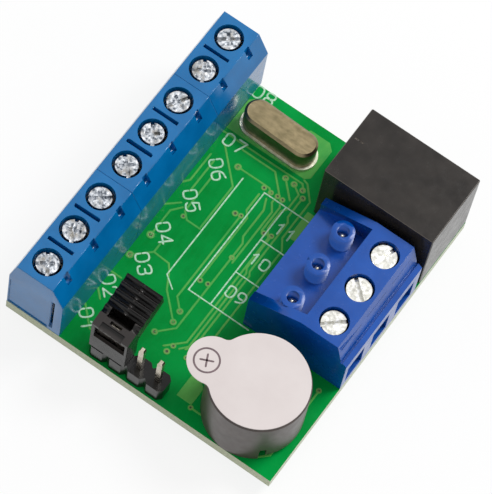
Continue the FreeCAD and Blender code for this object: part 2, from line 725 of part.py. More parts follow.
def make_signal_contacts():
    """Eight bent metal frames: sole with a solder tail, back, and a threaded top for the screw."""
    body = new_body("signal_contact")
    low = "signal_contact_bottom"
    high = "signal_contact_top"
    start = "signal_contact_start"
    end = "signal_contact_end"
    margin = "-(terminal_pitch - signal_contact_width) / 2"
    profile = draw_outline(sketch(body, "bent_strip", "XZ_Plane", margin), [
        (start, low), (end, low), (end, high), (start, high), (start, high + " - signal_metal"),
        (end + " - signal_metal", high + " - signal_metal"),
        (end + " - signal_metal", low + " + signal_metal"),
        (start, low + " + signal_metal")])
    strip = pad(body, profile, "signal_contact_width", backwards=True)
    tail = draw_outline(sketch(body, "tail", "XY_Plane", low), rectangle(
        "signal_line - signal_tail_width / 2", "terminal_pitch / 2 - signal_tail_thickness / 2",
        "signal_line + signal_tail_width / 2", "terminal_pitch / 2 + signal_tail_thickness / 2"))
    leg = pad(body, tail, "%s - %s" % (low, TAIL_END), backwards=True)
    thread = draw_polygon(sketch(body, "thread", "XY_Plane", high), "signal_line", "terminal_pitch / 2",
                          reach_round("signal_shank / 2 + thread_gap", PIN_SIDES), PIN_SIDES)
    hole = pocket(body, thread, "signal_metal")
    repeat(body, [strip, leg, hole], "Y_Axis", "terminal_pitch", SIGNAL_WAYS)
    finish(body, "signal_contacts", "0", "0")


def make_screw_blank(body, head, head_height, shank, shank_length):
    """A round head on a shank with a bevelled tip; the origin is under the head."""
    disc = draw_circle(sketch(body, "head", "XY_Plane"), "0", "0", head)
    pad(body, disc, head_height)
    bar = draw_polygon(sketch(body, "shank", "XY_Plane"), "0", "0", "(%s) / 2" % shank)
    stem = pad(body, bar, shank_length, backwards=True)
    doc.recompute()
    tip = body.Shape.BoundBox.ZMin
    bevel(body, stem, lambda edge: edge.BoundBox.ZMax < tip + SMALL, "screw_bevel")


def make_signal_screw(way):
    """A clamp screw with a slot and a cross recess."""
    body = new_body("signal_screw")
    make_screw_blank(body, "signal_head", "signal_head_height", "signal_shank", "signal_shank_length")
    half = "(drive_slot_width / 2)"
    long_bar = "signal_head"
    short_bar = "(drive_cross_length / 2)"
    corners = [(long_bar, half), (half, half), (half, short_bar), ("-" + half, short_bar), ("-" + half, half),
               ("-" + long_bar, half), ("-" + long_bar, "-" + half), ("-" + half, "-" + half),
               ("-" + half, "-" + short_bar), (half, "-" + short_bar), (half, "-" + half),
               (long_bar, "-" + half)]
    drive = draw_outline(sketch(body, "drive", "XY_Plane", "signal_head_height"), corners)
    pocket(body, drive, "drive_slot_depth")
    finish(body, "signal_screw_%d" % (way + 1), "signal_line", signal_y(way),
           "signal_height - signal_head_recess - signal_head_height")
    turn(body, SIGNAL_SCREW_TURNS[way])


SCREW_TIP = "(signal_height - signal_head_recess - signal_head_height - signal_shank_length)"


def make_signal_leaf(way):
    """The spring leaf that a signal screw presses on the wire."""
    body = new_body("signal_leaf")
    length = "leaf_length"
    thick = "leaf_thickness"
    profile = draw_outline(sketch(body, "leaf_section", "XZ_Plane", "leaf_width / 2"), [
        ("-%s / 2" % length, "-" + thick), ("%s / 2" % length, "-" + thick),
        ("%s / 2" % length, "leaf_lip"), ("%s / 2 - %s" % (length, thick), "leaf_lip"),
        ("%s / 2 - %s" % (length, thick), "0"), ("-%s / 2" % length, "0")])
    pad(body, profile, "leaf_width", backwards=True)
    finish(body, "signal_leaf_%d" % (way + 1), "signal_line + thread_gap", signal_y(way),
           SCREW_TIP + " - leaf_gap")


# Relay terminal block: one housing, three ways with rising cages


def make_relay_terminal_housing():
    """The housing: a bay between sloped end walls, bosses, test holes, screw openings and wire entries."""
    body = new_body("relay_terminal_housing_body")
    outer = "(relay_block_depth - relay_block_ledge)"
    shelf = "(relay_block_height - relay_block_bevel_drop)"
    profile = draw_outline(sketch(body, "section", "XZ_Plane"), [
        ("0", "0"), ("0", "relay_block_foot + rim_rise"), ("relay_block_slope", "relay_block_height"),
        (outer + " - relay_block_bevel", "relay_block_height"), (outer, shelf),
        (outer, shelf + " - ledge_groove_depth"),
        (outer + " + ledge_groove_width", shelf + " - ledge_groove_depth"),
        (outer + " + ledge_groove_width", shelf + " - ledge_groove_width"),
        ("relay_block_depth", shelf + " - ledge_groove_width - ledge_fall"), ("relay_block_depth", "0")])
    pad(body, profile, "relay_block_length", backwards=True)
    floor = draw_outline(sketch(body, "bay", "XY_Plane", "relay_block_height"), rectangle(
        "0", "rim_thickness", "relay_block_slope", "relay_block_length - flange_thickness"))
    pocket(body, floor, "relay_block_height - relay_block_foot")
    wall = draw_outline(sketch(body, "raised_wall", "XZ_Plane", "-(relay_block_length - flange_thickness)"), [
        ("0", "0"), ("0", "relay_block_foot + flange_rise"), ("relay_block_slope", "relay_block_height"),
        ("relay_block_slope", "0")])
    pad(body, wall, "flange_thickness", backwards=True)
    middle = "relay_block_margin"

    ring = draw_circle(sketch(body, "boss", "XY_Plane", "relay_block_foot"),
                       "boss_line", middle, "boss_diameter")
    boss = pad(body, ring, "boss_top - relay_block_foot")
    mouth = draw_circle(sketch(body, "test_hole", "XY_Plane", "boss_top"), "boss_line", middle, "test_bore")
    test_hole = pocket(body, mouth, "test_bore_depth")
    throat = draw_polygon(sketch(body, "post_hole", "XY_Plane", "boss_top"), "boss_line", middle,
                          "post_diameter / 2 + post_gap", PIN_SIDES)
    post_hole = pocket(body, throat, "boss_top - busbar_level")
    cavity = draw_outline(sketch(body, "cage_room", "XY_Plane"), rectangle(
        "relay_cavity_start", middle + " - relay_cavity_width / 2",
        "relay_cavity_end", middle + " + relay_cavity_width / 2"))
    room = pocket(body, cavity, "relay_block_height - relay_roof", backwards=True)
    channel = draw_outline(sketch(body, "busbar_channel", "XY_Plane"), rectangle(
        "busbar_start - busbar_side_gap", middle + " - busbar_width / 2 - busbar_side_gap",
        "relay_cavity_start + busbar_side_gap", middle + " + busbar_width / 2 + busbar_side_gap"))
    slot = pocket(body, channel, "busbar_level + busbar_thickness + busbar_side_gap", backwards=True)
    opening = draw_circle(sketch(body, "screw_opening", "XY_Plane", "relay_block_height"),
                          "relay_line", middle, "relay_bore")
    bore = pocket(body, opening, "relay_roof")
    doorway = draw_outline(sketch(body, "wire_entry", "YZ_Plane", "relay_block_depth"), rectangle(
        middle + " - relay_entry_width / 2", "relay_entry_sill",
        middle + " + relay_entry_width / 2", "relay_entry_sill + relay_entry_height"))
    entry = pocket(body, doorway, "relay_block_depth - relay_cavity_end")
    way = [boss, test_hole, post_hole, room, slot, bore, entry]
    repeat(body, way, "Y_Axis", "terminal_pitch", RELAY_WAYS)
    finish(body, "relay_terminal_housing", RELAY_BLOCK_X, RELAY_BLOCK_Y)


def make_relay_terminal_contacts():
    """Three flat contacts, each with a solder tail and the post that shows in its test hole."""
    body = new_body("relay_terminal_contact")
    half = "busbar_width / 2"
    bar = draw_outline(sketch(body, "busbar", "XY_Plane", "busbar_level"),
                       rectangle("busbar_start", "-" + half, "busbar_end", half))
    flat = pad(body, bar, "busbar_thickness")
    tail = draw_outline(sketch(body, "tail", "XY_Plane", "busbar_level"), rectangle(
        "boss_line - relay_tail_width / 2", "-relay_tail_thickness / 2",
        "boss_line + relay_tail_width / 2", "relay_tail_thickness / 2"))
    leg = pad(body, tail, "busbar_level - %s" % TAIL_END, backwards=True)
    ring = draw_polygon(sketch(body, "post", "XY_Plane", "busbar_level"), "boss_line", "0",
                        "post_diameter / 2", PIN_SIDES)
    post = pad(body, ring, "boss_top - test_bore_depth - post_drop - busbar_level")
    repeat(body, [flat, leg, post], "Y_Axis", "terminal_pitch", RELAY_WAYS)
    finish(body, "relay_terminal_contacts", RELAY_BLOCK_X, relay_terminal_y(0))


CAGE_TOP_PLATE = "(busbar_level + busbar_thickness + cage_gap)"


def make_relay_cage(way):
    """A rising cage: a box round the busbar whose top plate rides on the screw's thread."""
    body = new_body("relay_cage")
    half = "(cage_width / 2)"
    inner = "(cage_width / 2 - cage_wall)"
    ring = sketch(body, "cage_section", "YZ_Plane", "-cage_length / 2")
    draw_outline(ring, rectangle("-" + half, "cage_bottom", half, CAGE_TOP_PLATE + " + cage_plate"))
    draw_outline(ring, rectangle("-" + inner, "cage_bottom + cage_plate", inner, CAGE_TOP_PLATE))
    pad(body, ring, "cage_length")
    thread = draw_polygon(sketch(body, "thread", "XY_Plane", CAGE_TOP_PLATE + " + cage_plate"), "0", "0",
                          reach_round("relay_shank / 2 + thread_gap", PIN_SIDES), PIN_SIDES)
    pocket(body, thread, "cage_plate")
    finish(body, "relay_cage_%d" % (way + 1), RELAY_BLOCK_X + " + relay_line", relay_terminal_y(way))


def make_relay_terminal_screw(way):
    """A slotted screw that turns in place on the busbar and lifts its cage."""
    body = new_body("relay_terminal_screw")
    under_head = "(relay_block_height - relay_head_recess - relay_head_height)"
    shank_length = "%s - busbar_level - busbar_thickness - leaf_gap" % under_head
    make_screw_blank(body, "relay_head", "relay_head_height", "relay_shank", shank_length)
    drive = draw_outline(sketch(body, "drive", "XY_Plane", "relay_head_height"), rectangle(
        "-relay_head", "-relay_slot_width / 2", "relay_head", "relay_slot_width / 2"))
    pocket(body, drive, "relay_slot_depth")
    finish(body, "relay_terminal_screw_%d" % (way + 1), RELAY_BLOCK_X + " + relay_line",
           relay_terminal_y(way), under_head)
    turn(body, RELAY_SCREW_TURNS[way])


# Relay


def make_relay_cover():
    """The cover: a box open below, with bevelled edges and a small vent mark."""
    body = new_body("relay_cover_body")
    outline = draw_outline(sketch(body, "cover_outline", "XY_Plane", "relay_standoff"),
                           rectangle("0", "0", "relay_length", "relay_width"))
    block = pad(body, outline, "relay_height - relay_standoff")
    foot = size("relay_standoff")
    bevel(body, block, lambda edge: edge.BoundBox.ZMax > foot + SMALL, "relay_edge")
    inside = draw_outline(sketch(body, "cover_inside", "XY_Plane", "relay_standoff"), rectangle(
        "relay_wall", "relay_wall", "relay_length - relay_wall", "relay_width - relay_wall"))
    pocket(body, inside, "relay_height - relay_standoff - relay_wall", backwards=True)
    vent = draw_outline(sketch(body, "vent_mark", "XY_Plane", "relay_height"), rectangle(
        "relay_wall", "relay_width / 2 + relay_wall",
        "relay_wall + vent_length", "relay_width / 2 + relay_wall + vent_width"))
    pocket(body, vent, "vent_depth")
    finish(body, "relay_cover", RELAY_X, RELAY_Y)


def make_relay_base():
    """The base plate in the cover's mouth, slotted for the pins."""
    gap = "relay_wall + relay_base_gap"
    plate = box("relay_length - 2 * (%s)" % gap, "relay_width - 2 * (%s)" % gap, "relay_base_thickness",
                gap, gap, "relay_standoff + relay_base_gap")
    tools = []
    for number, (x, y) in enumerate(relay_pin_spots()):
        width = "relay_pin + 2 * core_gap" if number < 3 else "strip_thickness + 2 * core_gap"
        length = "relay_pin + 2 * core_gap" if number < 3 else "strip_width + 2 * core_gap"
        tools.append(middle_box(width, length, "relay_base_thickness * 2",
                                "%s - %s" % (x, RELAY_X), "%s - %s" % (y, RELAY_Y), "0"))
    finish(cut(plate, *tools), "relay_base", RELAY_X, RELAY_Y)


def make_relay_bobbin():
    """The coil former: two square flanges on a tube."""
    low = middle_box("bobbin_width", "bobbin_width", "bobbin_flange", z="bobbin_bottom")
    high = middle_box("bobbin_width", "bobbin_width", "bobbin_flange", z="bobbin_top - bobbin_flange")
    tube = prism("bobbin_tube", "bobbin_top - bobbin_bottom", z="bobbin_bottom", sides=RING_SIDES)
    bore = prism("core_radius + core_gap", "bobbin_top", z="bobbin_bottom / 2")
    finish(cut(fuse(low, tube, high), bore), "relay_bobbin",
           RELAY_X + " + coil_place", RELAY_Y + " + relay_width / 2")


def make_ring(label, inner, outer, low, high, x, y):
    """A ring with flats, whose bore and outside have their corners in line."""
    body = new_body("ring")
    section = sketch(body, "ring_section", "XY_Plane", low)
    draw_polygon(section, "0", "0", inner, RING_SIDES)
    draw_polygon(section, "0", "0", outer, RING_SIDES)
    pad(body, section, "%s - (%s)" % (high, low))
    finish(body, label, x, y)


def make_relay_winding():
    """The copper winding between the bobbin's flanges."""
    make_ring("relay_winding", "bobbin_tube + winding_gap", "winding_radius",
              "bobbin_bottom + bobbin_flange + winding_gap", "bobbin_top - bobbin_flange - winding_gap",
              RELAY_X + " + coil_place", RELAY_Y + " + relay_width / 2")


YOKE_BOTTOM = "(relay_standoff + 2 * relay_base_gap + relay_base_thickness)"


def make_relay_core():
    """The iron core with its wider pole face."""
    neck = "bobbin_top + core_gap"
    stem = prism("core_radius", "pole_top - " + YOKE_BOTTOM, z=YOKE_BOTTOM)
    pole = prism("pole_radius", "pole_top - (%s)" % neck, z=neck)
    finish(fuse(stem, pole), "relay_core", RELAY_X + " + coil_place", RELAY_Y + " + relay_width / 2")


def make_relay_yoke():
    """The L-shaped iron yoke, with the core riveted through its foot."""
    body = new_body("yoke_body")
    section = draw_outline(sketch(body, "yoke_section", "XZ_Plane", "-yoke_width / 2"), [
        ("coil_place - pole_radius", YOKE_BOTTOM), ("yoke_place", YOKE_BOTTOM), ("yoke_place", "yoke_top"),
        ("yoke_place - yoke_thickness", "yoke_top"),
        ("yoke_place - yoke_thickness", YOKE_BOTTOM + " + yoke_thickness"),
        ("coil_place - pole_radius", YOKE_BOTTOM + " + yoke_thickness")])
    pad(body, section, "yoke_width")
    hole = draw_polygon(sketch(body, "rivet_hole", "XY_Plane", YOKE_BOTTOM + " + yoke_thickness"),
                        "coil_place", "0", "core_radius + core_gap")
    pocket(body, hole, "yoke_thickness")
    finish(body, "relay_yoke", RELAY_X, RELAY_Y + " + relay_width / 2")


ARMATURE_BOTTOM = "(yoke_top + armature_rise)"


def make_relay_armature():
    """The iron flap that the coil pulls down, with its corners cut."""
    body = new_body("armature_body")
    start = "armature_start"
    end = "(yoke_place + armature_overhang)"
    half = "(yoke_width / 2)"
    nip = "armature_corner"
    outline = draw_outline(sketch(body, "flap_outline", "XY_Plane", ARMATURE_BOTTOM), [
        (start + " + " + nip, "-" + half), (end + " - " + nip, "-" + half), (end, "-%s + %s" % (half, nip)),
        (end, "%s - %s" % (half, nip)), (end + " - " + nip, half), (start + " + " + nip, half),
        (start, "%s - %s" % (half, nip)), (start, "-%s + %s" % (half, nip))])
    pad(body, outline, "armature_thickness")
    finish(body, "relay_armature", RELAY_X, RELAY_Y + " + relay_width / 2")


def make_relay_contact_spring():
    """The leaf on the flap, with the moving contact rivet at its free end."""
    bottom = ARMATURE_BOTTOM + " + armature_thickness"
    leaf = box("spring_end - spring_start", "spring_width", "spring_thickness",
               "spring_start", "-spring_width / 2", bottom)
    rivet = prism("contact_radius", "%s + spring_thickness + contact_rest_gap - moving_rivet_bottom" % bottom,
                  "contact_place", "0", "moving_rivet_bottom")
    finish(fuse(leaf, rivet), "relay_contact_spring", RELAY_X, RELAY_Y + " + relay_width / 2")


def make_relay_fixed_contacts():
    """Two bent strips that carry the lower and the upper fixed contact."""
    tab_low = "lower_rivet_top - fixed_rivet_height - strip_thickness"
    rivet_high = "%s + armature_thickness + spring_thickness + 2 * contact_rest_gap" % ARMATURE_BOTTOM
    tab_high = rivet_high + " + fixed_rivet_height"
    lower = fuse(
        box("strip_thickness", "strip_width", "%s + strip_thickness - %s" % (tab_low, TAIL_END),
            "strip_place", "-strip_width / 2", TAIL_END),
        box("strip_reach", "strip_width", "strip_thickness", "strip_place", "-strip_width / 2", tab_low),
        prism("contact_radius", "fixed_rivet_height", "contact_place", "0", tab_low + " + strip_thickness"))
    side = "spring_width / 2 + strip_width"
    upper = fuse(
        box("strip_thickness", "strip_width", "%s + strip_thickness - %s" % (tab_high, TAIL_END),
            "strip_place", side, TAIL_END),
        box("strip_reach", "%s + strip_width + contact_radius" % side, "strip_thickness",
            "strip_place", "-contact_radius", tab_high),
        prism("contact_radius", "fixed_rivet_height", "contact_place", "0", rivet_high))
    finish(group([lower, upper]), "relay_fixed_contacts", RELAY_X, RELAY_Y + " + relay_width / 2")


def make_relay_pins():
    """Two coil pins, and the common pin with the tab that meets the yoke."""
    top = YOKE_BOTTOM + " + yoke_thickness"
    height = "%s - %s" % (top, TAIL_END)
    coil_pins = [middle_box("relay_pin", "relay_pin", height, RELAY_PIN_X,
                            "%s relay_pin_spread / 2" % sign, TAIL_END) for sign in "-+"]
    tab = box(RELAY_PIN_X + " - yoke_place - core_gap", "relay_pin", "strip_thickness",
              "yoke_place + core_gap", "-relay_pin / 2", YOKE_BOTTOM)
    common = fuse(middle_box("relay_pin", "relay_pin", "%s + strip_thickness - %s" % (YOKE_BOTTOM, TAIL_END),
                             RELAY_PIN_X, "0", TAIL_END), tab)
    finish(group(coil_pins + [common]), "relay_pins", RELAY_X, RELAY_Y + " + relay_width / 2")


# Buzzer


def turned(x, y, angle):
    """A point of a sketch after a turn about its origin."""
    return ("(%s) * cos(%s) - (%s) * sin(%s)" % (x, angle, y, angle),
            "(%s) * sin(%s) + (%s) * cos(%s)" % (x, angle, y, angle))


def make_buzzer_case():
    """The round case: a ledge for the diaphragm, a sound hole, and a notch and a raised part in its foot."""
    body = new_body("buzzer_case_body")
    section = draw_outline(sketch(body, "case_section", "XZ_Plane"), [
        ("sound_hole", "0"), ("buzzer_radius", "0"), ("buzzer_radius", "buzzer_height - buzzer_rim"),
        ("buzzer_radius - buzzer_rim", "buzzer_height"), ("sound_hole", "buzzer_height")])
    revolve(body, section)
    bore = draw_polygon(sketch(body, "bore", "XY_Plane"), "0", "0", "buzzer_bore", RING_SIDES)
    pocket(body, bore, "buzzer_ledge", backwards=True)
    chamber = draw_polygon(sketch(body, "chamber", "XY_Plane", "buzzer_ledge"), "0", "0",
                           "buzzer_chamber", RING_SIDES)
    pocket(body, chamber, "buzzer_height - buzzer_roof - buzzer_ledge", backwards=True)
    inside = "(buzzer_bore + buzzer_radius) / 2"
    outside = "buzzer_radius * 2"
    side = "foot_notch_width / 2"
    notch = draw_outline(sketch(body, "foot_notch", "XY_Plane"), [
        turned(x, y, "foot_notch_angle")
        for x, y in [(inside, "-" + side), (outside, "-" + side), (outside, side), (inside, side)]])
    pocket(body, notch, "foot_notch_height", backwards=True)
    step = draw_outline(sketch(body, "foot_step", "XY_Plane"), [
        ("0", "0"), turned(outside, "0", "foot_notch_angle"), turned(outside, "0", "foot_step_end_angle")])
    pocket(body, step, "foot_step_height", backwards=True)
    finish(body, "buzzer_case", "buzzer_x", "buzzer_y")


def make_buzzer_base():
    """The sealing disc under the case, with holes for the pins."""
    disc = prism("buzzer_bore - buzzer_fit", "buzzer_base_thickness",
                 z="buzzer_base_bottom", sides=RING_SIDES)
    hole = "2 * (buzzer_pin_radius + core_gap)"
    holes = [middle_box(hole, hole, "buzzer_base_thickness * 3", "0", "%s buzzer_pin_spread / 2" % sign,
                        "-buzzer_base_thickness") for sign in "-+"]
    finish(cut(disc, *holes), "buzzer_base", "buzzer_x", "buzzer_y")


BUZZER_FLOOR = "(buzzer_base_bottom + buzzer_base_thickness + core_gap)"


def make_buzzer_pins():
    """The two round pins."""
    pins = [prism("buzzer_pin_radius", "%s - core_gap - %s" % (BUZZER_FLOOR, TAIL_END), "0",
                  "%s buzzer_pin_spread / 2" % sign, TAIL_END, PIN_SIDES) for sign in "-+"]
    finish(group(pins), "buzzer_pins", "buzzer_x", "buzzer_y")


def make_buzzer_yoke():
    """The iron plate with the pole in its middle."""
    plate = prism("buzzer_bore - buzzer_fit", "buzzer_yoke_thickness", z=BUZZER_FLOOR, sides=RING_SIDES)
    pole = prism("buzzer_pole_radius", "buzzer_pole_top - " + BUZZER_FLOOR, z=BUZZER_FLOOR, sides=RING_SIDES)
    finish(fuse(plate, pole), "buzzer_yoke", "buzzer_x", "buzzer_y")


def make_buzzer_magnet_and_coil():
    """The ring magnet and the coil round the pole, both on the yoke's plate."""
    floor = BUZZER_FLOOR + " + buzzer_yoke_thickness + core_gap"
    make_ring("buzzer_magnet", "buzzer_bore - buzzer_fit - magnet_wall", "buzzer_bore - buzzer_fit",
              floor, floor + " + magnet_height", "buzzer_x", "buzzer_y")
    make_ring("buzzer_coil", "buzzer_pole_radius + core_gap", "buzzer_coil_radius",
              floor, floor + " + buzzer_coil_height", "buzzer_x", "buzzer_y")


def make_buzzer_diaphragm():
    """The thin steel disc on the ledge, with its weight."""
    disc = prism("buzzer_chamber - buzzer_fit", "diaphragm_thickness", z="buzzer_ledge", sides=RING_SIDES)
    weight = prism("diaphragm_weight_radius", "diaphragm_weight_height + diaphragm_thickness",
                   z="buzzer_ledge")
    finish(fuse(disc, weight), "buzzer_diaphragm", "buzzer_x", "buzzer_y")


def make_buzzer_seal():
    """The paper seal over the sound hole: a disc with a round pull tab."""
    disc = cylinder("seal_radius", "seal_thickness")
    tab = cylinder("seal_tab_radius", "seal_thickness", "seal_tab_reach * cos(seal_tab_angle)",
                   "seal_tab_reach * sin(seal_tab_angle)")
    outline = fuse(disc, tab)
    doc.recompute()
    angle = math.radians(size("seal_tab_angle"))
    middle = (size("seal_tab_reach") * math.cos(angle), size("seal_tab_reach") * math.sin(angle))
    neck = []
    for index, edge in enumerate(outline.Shape.Edges, 1):
        point = edge.Vertexes[0].Point
        upright = edge.BoundBox.ZLength > size("seal_thickness") / 2
        from_disc = abs(math.hypot(point.x, point.y) - size("seal_radius"))
        from_tab = abs(math.hypot(point.x - middle[0], point.y - middle[1]) - size("seal_tab_radius"))
        if upright and from_disc < SMALL and from_tab < SMALL:
            neck.append((index, size("seal_neck_radius"), size("seal_neck_radius")))
    rounded = doc.addObject("Part::Fillet", "rounded_neck")
    rounded.Base = outline
    rounded.Edges = neck
    finish(rounded, "buzzer_seal", "buzzer_x", "buzzer_y", "buzzer_height")


# Crystal


def stadium(length, width, height, end, z="0"):
    """A slab whose ends are half cylinders or half prisms, centred on the crystal's middle."""
    straight = "(%s) - (%s)" % (length, width)
    bar = middle_box(straight, width, height, z=z)
    ends = [end("(%s) / 2" % width, height, "%s (%s) / 2" % (sign, straight), "0", z) for sign in "-+"]
    return fuse(bar, *ends)


def finish_crystal_piece(piece, label, z="0"):
    """Seat a piece of the crystal, turned as the crystal is."""
    finish(piece, label, "crystal_x", CRYSTAL_Y, z)
    turn(piece, "crystal_angle")


def make_crystal_can():
    """The drawn metal can, open below, with a bevelled top edge."""
    height = "crystal_height - crystal_base_height"
    outer = stadium("crystal_length", "crystal_width", height, cylinder)
    doc.recompute()
    top = size("crystal_height") - size("crystal_base_height")
    amount = size("crystal_edge")
    bevelled = doc.addObject("Part::Chamfer", "bevelled_can")
    bevelled.Base = outer
    bevelled.Edges = [(index, amount, amount) for index, edge in enumerate(outer.Shape.Edges, 1)
                      if edge.BoundBox.ZMin > top - SMALL]
    inset = "2 * (crystal_wall + crystal_edge)"
    inner = stadium("crystal_length - " + inset, "crystal_width - " + inset,
                    "(%s) * 2 - crystal_wall * 2" % height, prism, "-(%s) + crystal_wall" % height)
    finish_crystal_piece(cut(bevelled, inner), "crystal_can", "crystal_base_height")


def make_crystal_base():
    """The flange plate that closes the can, with holes for the leads."""
    plate = stadium("crystal_length + 2 * crystal_rim", "crystal_width + 2 * crystal_rim",
                    "crystal_base_height", cylinder)
    hole = "2 * (crystal_lead_radius + core_gap)"
    holes = [middle_box(hole, hole, "crystal_base_height * 3", "%s crystal_lead_spread / 2" % sign, "0",
                        "-crystal_base_height") for sign in "-+"]
    finish_crystal_piece(cut(plate, *holes), "crystal_base")


def make_crystal_leads():
    """The two leads, which also carry the quartz blank."""
    height = "crystal_base_height + crystal_post_height - %s" % TAIL_END
    leads = [prism("crystal_lead_radius", height, x, y, TAIL_END, PIN_SIDES) for x, y in crystal_lead_spots()]
    finish(group(leads), "crystal_leads", "0", "0")


def make_crystal_blank():
    """The quartz strip on top of the leads."""
    body = new_body("quartz_blank")
    strip = draw_outline(sketch(body, "blank_outline", "XY_Plane"), rectangle(
        "-blank_length / 2", "-blank_width / 2", "blank_length / 2", "blank_width / 2"))
    pad(body, strip, "blank_thickness")
    finish_crystal_piece(body, "crystal_blank", "crystal_base_height + crystal_post_height")


# Header and jumper


def make_header_body():
    """The notched strip that holds the header pins."""
    body = new_body("header_strip")
    half = "header_width / 2"
    near = []
    far = []
    for way in range(HEADER_PINS):
        left = "header_pitch * %g + header_notch" % (way - 0.5)
        right = "header_pitch * %g - header_notch" % (way + 0.5)
        near += [(left, "-" + half), (right, "-" + half)]
        far = [(right, half), (left, half)] + far
        if way < HEADER_PINS - 1:
            near.append(("header_pitch * %g" % (way + 0.5), "-%s + header_notch" % half))
            far = [("header_pitch * %g" % (way + 0.5), "%s - header_notch" % half)] + far
    ends = [("header_pitch * %g" % (HEADER_PINS - 0.5), "-%s + header_notch" % half),
            ("header_pitch * %g" % (HEADER_PINS - 0.5), "%s - header_notch" % half)]
    starts = [("header_pitch * -0.5", "%s - header_notch" % half),
              ("header_pitch * -0.5", "-%s + header_notch" % half)]
    outline = draw_outline(sketch(body, "strip_outline", "XY_Plane"), near + ends + far + starts)
    pad(body, outline, "header_height")
    hole = "(pin_width / 2 + core_gap)"
    square = draw_outline(sketch(body, "pin_hole", "XY_Plane"), rectangle("-" + hole, "-" + hole, hole, hole))
    first = pocket(body, square, "header_height", backwards=True)
    repeat(body, [first], "X_Axis", "header_pitch", HEADER_PINS)
    finish(body, "header_body", "header_x", "header_y")


def make_header_pins():
    """Four square pins with tapered tips."""
    shaft_end = "pin_top - pin_tip"
    pins = []
    for number in range(HEADER_PINS):
        x = "header_x + header_pitch * %d" % number
        shaft = middle_box("pin_width", "pin_width", shaft_end + " - " + TAIL_END, x, "header_y", TAIL_END)
        tip = frustum("pin_width / 2", "pin_width / 2 - pin_tip * tan(pin_taper)", "pin_tip", x, "header_y",
                      shaft_end)
        pins.append(fuse(shaft, tip))
    finish(group(pins), "header_pins", "0", "0")


JUMPER_BOTTOM = "(header_height + jumper_seat)"


def make_jumper_cap():
    """The jumper: a socket on the first two pins and a ribbed grip that leans away behind it."""
    body = new_body("jumper_cap_body")
    front = "(-jumper_depth / 2)"
    back = "(jumper_depth / 2)"
    slope = "(grip_rise / grip_reach)"
    tooth = "rib_height"
    end = "(%s + grip_reach)" % front
    corners = [(front, JUMPER_BOTTOM), (front, "jumper_top")]
    for number in range(GRIP_RIBS):
        for share, drop in ((1.0, "0"), (0.75, tooth), (0.5, tooth), (0.25, "0")):
            along = "grip_reach - rib_spacing * %g" % (GRIP_RIBS - number - 1 + share)
            corners.append(("%s + %s" % (front, along), "jumper_top + (%s) * %s - %s" % (along, slope, drop)))
    corners.append((end, "jumper_top + grip_rise"))
    corners.append((end + " + grip_thickness / 5", "jumper_top + grip_rise - grip_thickness"))
    corners.append((back, "jumper_top - grip_thickness"))
    corners.append((back, JUMPER_BOTTOM))
    profile = draw_outline(sketch(body, "side_outline", "YZ_Plane", "-jumper_width / 2"), corners)
    pad(body, profile, "jumper_width")
    across = "(clip_length / 2 + clip_gap)"
    along = "(jumper_depth / 2 - jumper_wall)"
    room = draw_outline(sketch(body, "clip_room", "XY_Plane", JUMPER_BOTTOM),
                        rectangle("-" + across, "-" + along, across, along))
    pocket(body, room, "clip_roof + clip_thickness + clip_gap - " + JUMPER_BOTTOM, backwards=True)
    slit_half = "jumper_slit_length / 2"
    slit = draw_outline(sketch(body, "slit", "XY_Plane", "jumper_top + jumper_wall"), rectangle(
        "-" + slit_half, "-jumper_slit_width / 2", slit_half, "jumper_slit_width / 2"))
    pocket(body, slit, "jumper_top + jumper_wall - clip_roof - clip_thickness")
    view = "(clip_length / 2 - jumper_wall)"
    recess = draw_outline(sketch(body, "front_recess", "XZ_Plane", "jumper_depth / 2"), rectangle(
        "-" + view, "jumper_top - jumper_recess", view, "jumper_top + jumper_wall"))
    pocket(body, recess, "jumper_depth / 2 - jumper_slit_width")
    finish(body, "jumper_cap", "header_x + header_pitch / 2", "header_y")


def make_jumper_contact():
    """The folded strip inside the jumper that joins the two pins."""
    body = new_body("jumper_contact_body")
    inner = "(pin_width / 2 + clip_gap)"
    outer = "(pin_width / 2 + clip_gap + clip_thickness)"
    low = JUMPER_BOTTOM + " + jumper_wall"
    section = draw_outline(sketch(body, "clip_section", "YZ_Plane", "-clip_length / 2"), [
        ("-" + outer, low), ("-" + outer, "clip_roof + clip_thickness"),
        (outer, "clip_roof + clip_thickness"),
        (outer, low), (inner, low), (inner, "clip_roof"), ("-" + inner, "clip_roof"), ("-" + inner, low)])
    pad(body, section, "clip_length")
    finish(body, "jumper_contact", "header_x + header_pitch / 2", "header_y")


# Parts under the board


UNDERSIDE = "(-board_thickness)"


def from_middle(place):
    """A spot under the board from a place in layout steps from the board's middle."""
    return ("(%s + %g * layout_step)" % (ORIGIN_X, place[0]),
            "(board_length / 2 + %g * layout_step)" % place[1])


def from_block(place):
    """The same, with X measured from the inner face of the relay terminal block."""
    return "(%s + %g * layout_step)" % (RELAY_BLOCK_X, place[0]), from_middle(place)[1]


def under_block(spot, length, width, height):
    """A block that hangs under the board at a spot."""
    return middle_box(length, width, height, *spot, "%s - %s" % (UNDERSIDE, height))


TRANSISTOR_SPOTS = ([from_middle(place) for place in TRANSISTORS]
                    + [from_block(place) for place in BLOCK_TRANSISTORS])
RESISTOR_SPOTS = ([from_middle(place) for place in RESISTORS]
                  + [from_block(place) for place in BLOCK_RESISTORS])
CHIP_X = "(%s + chip_x)" % ORIGIN_X
CHIP_Y = "(board_length / 2 + chip_y)"


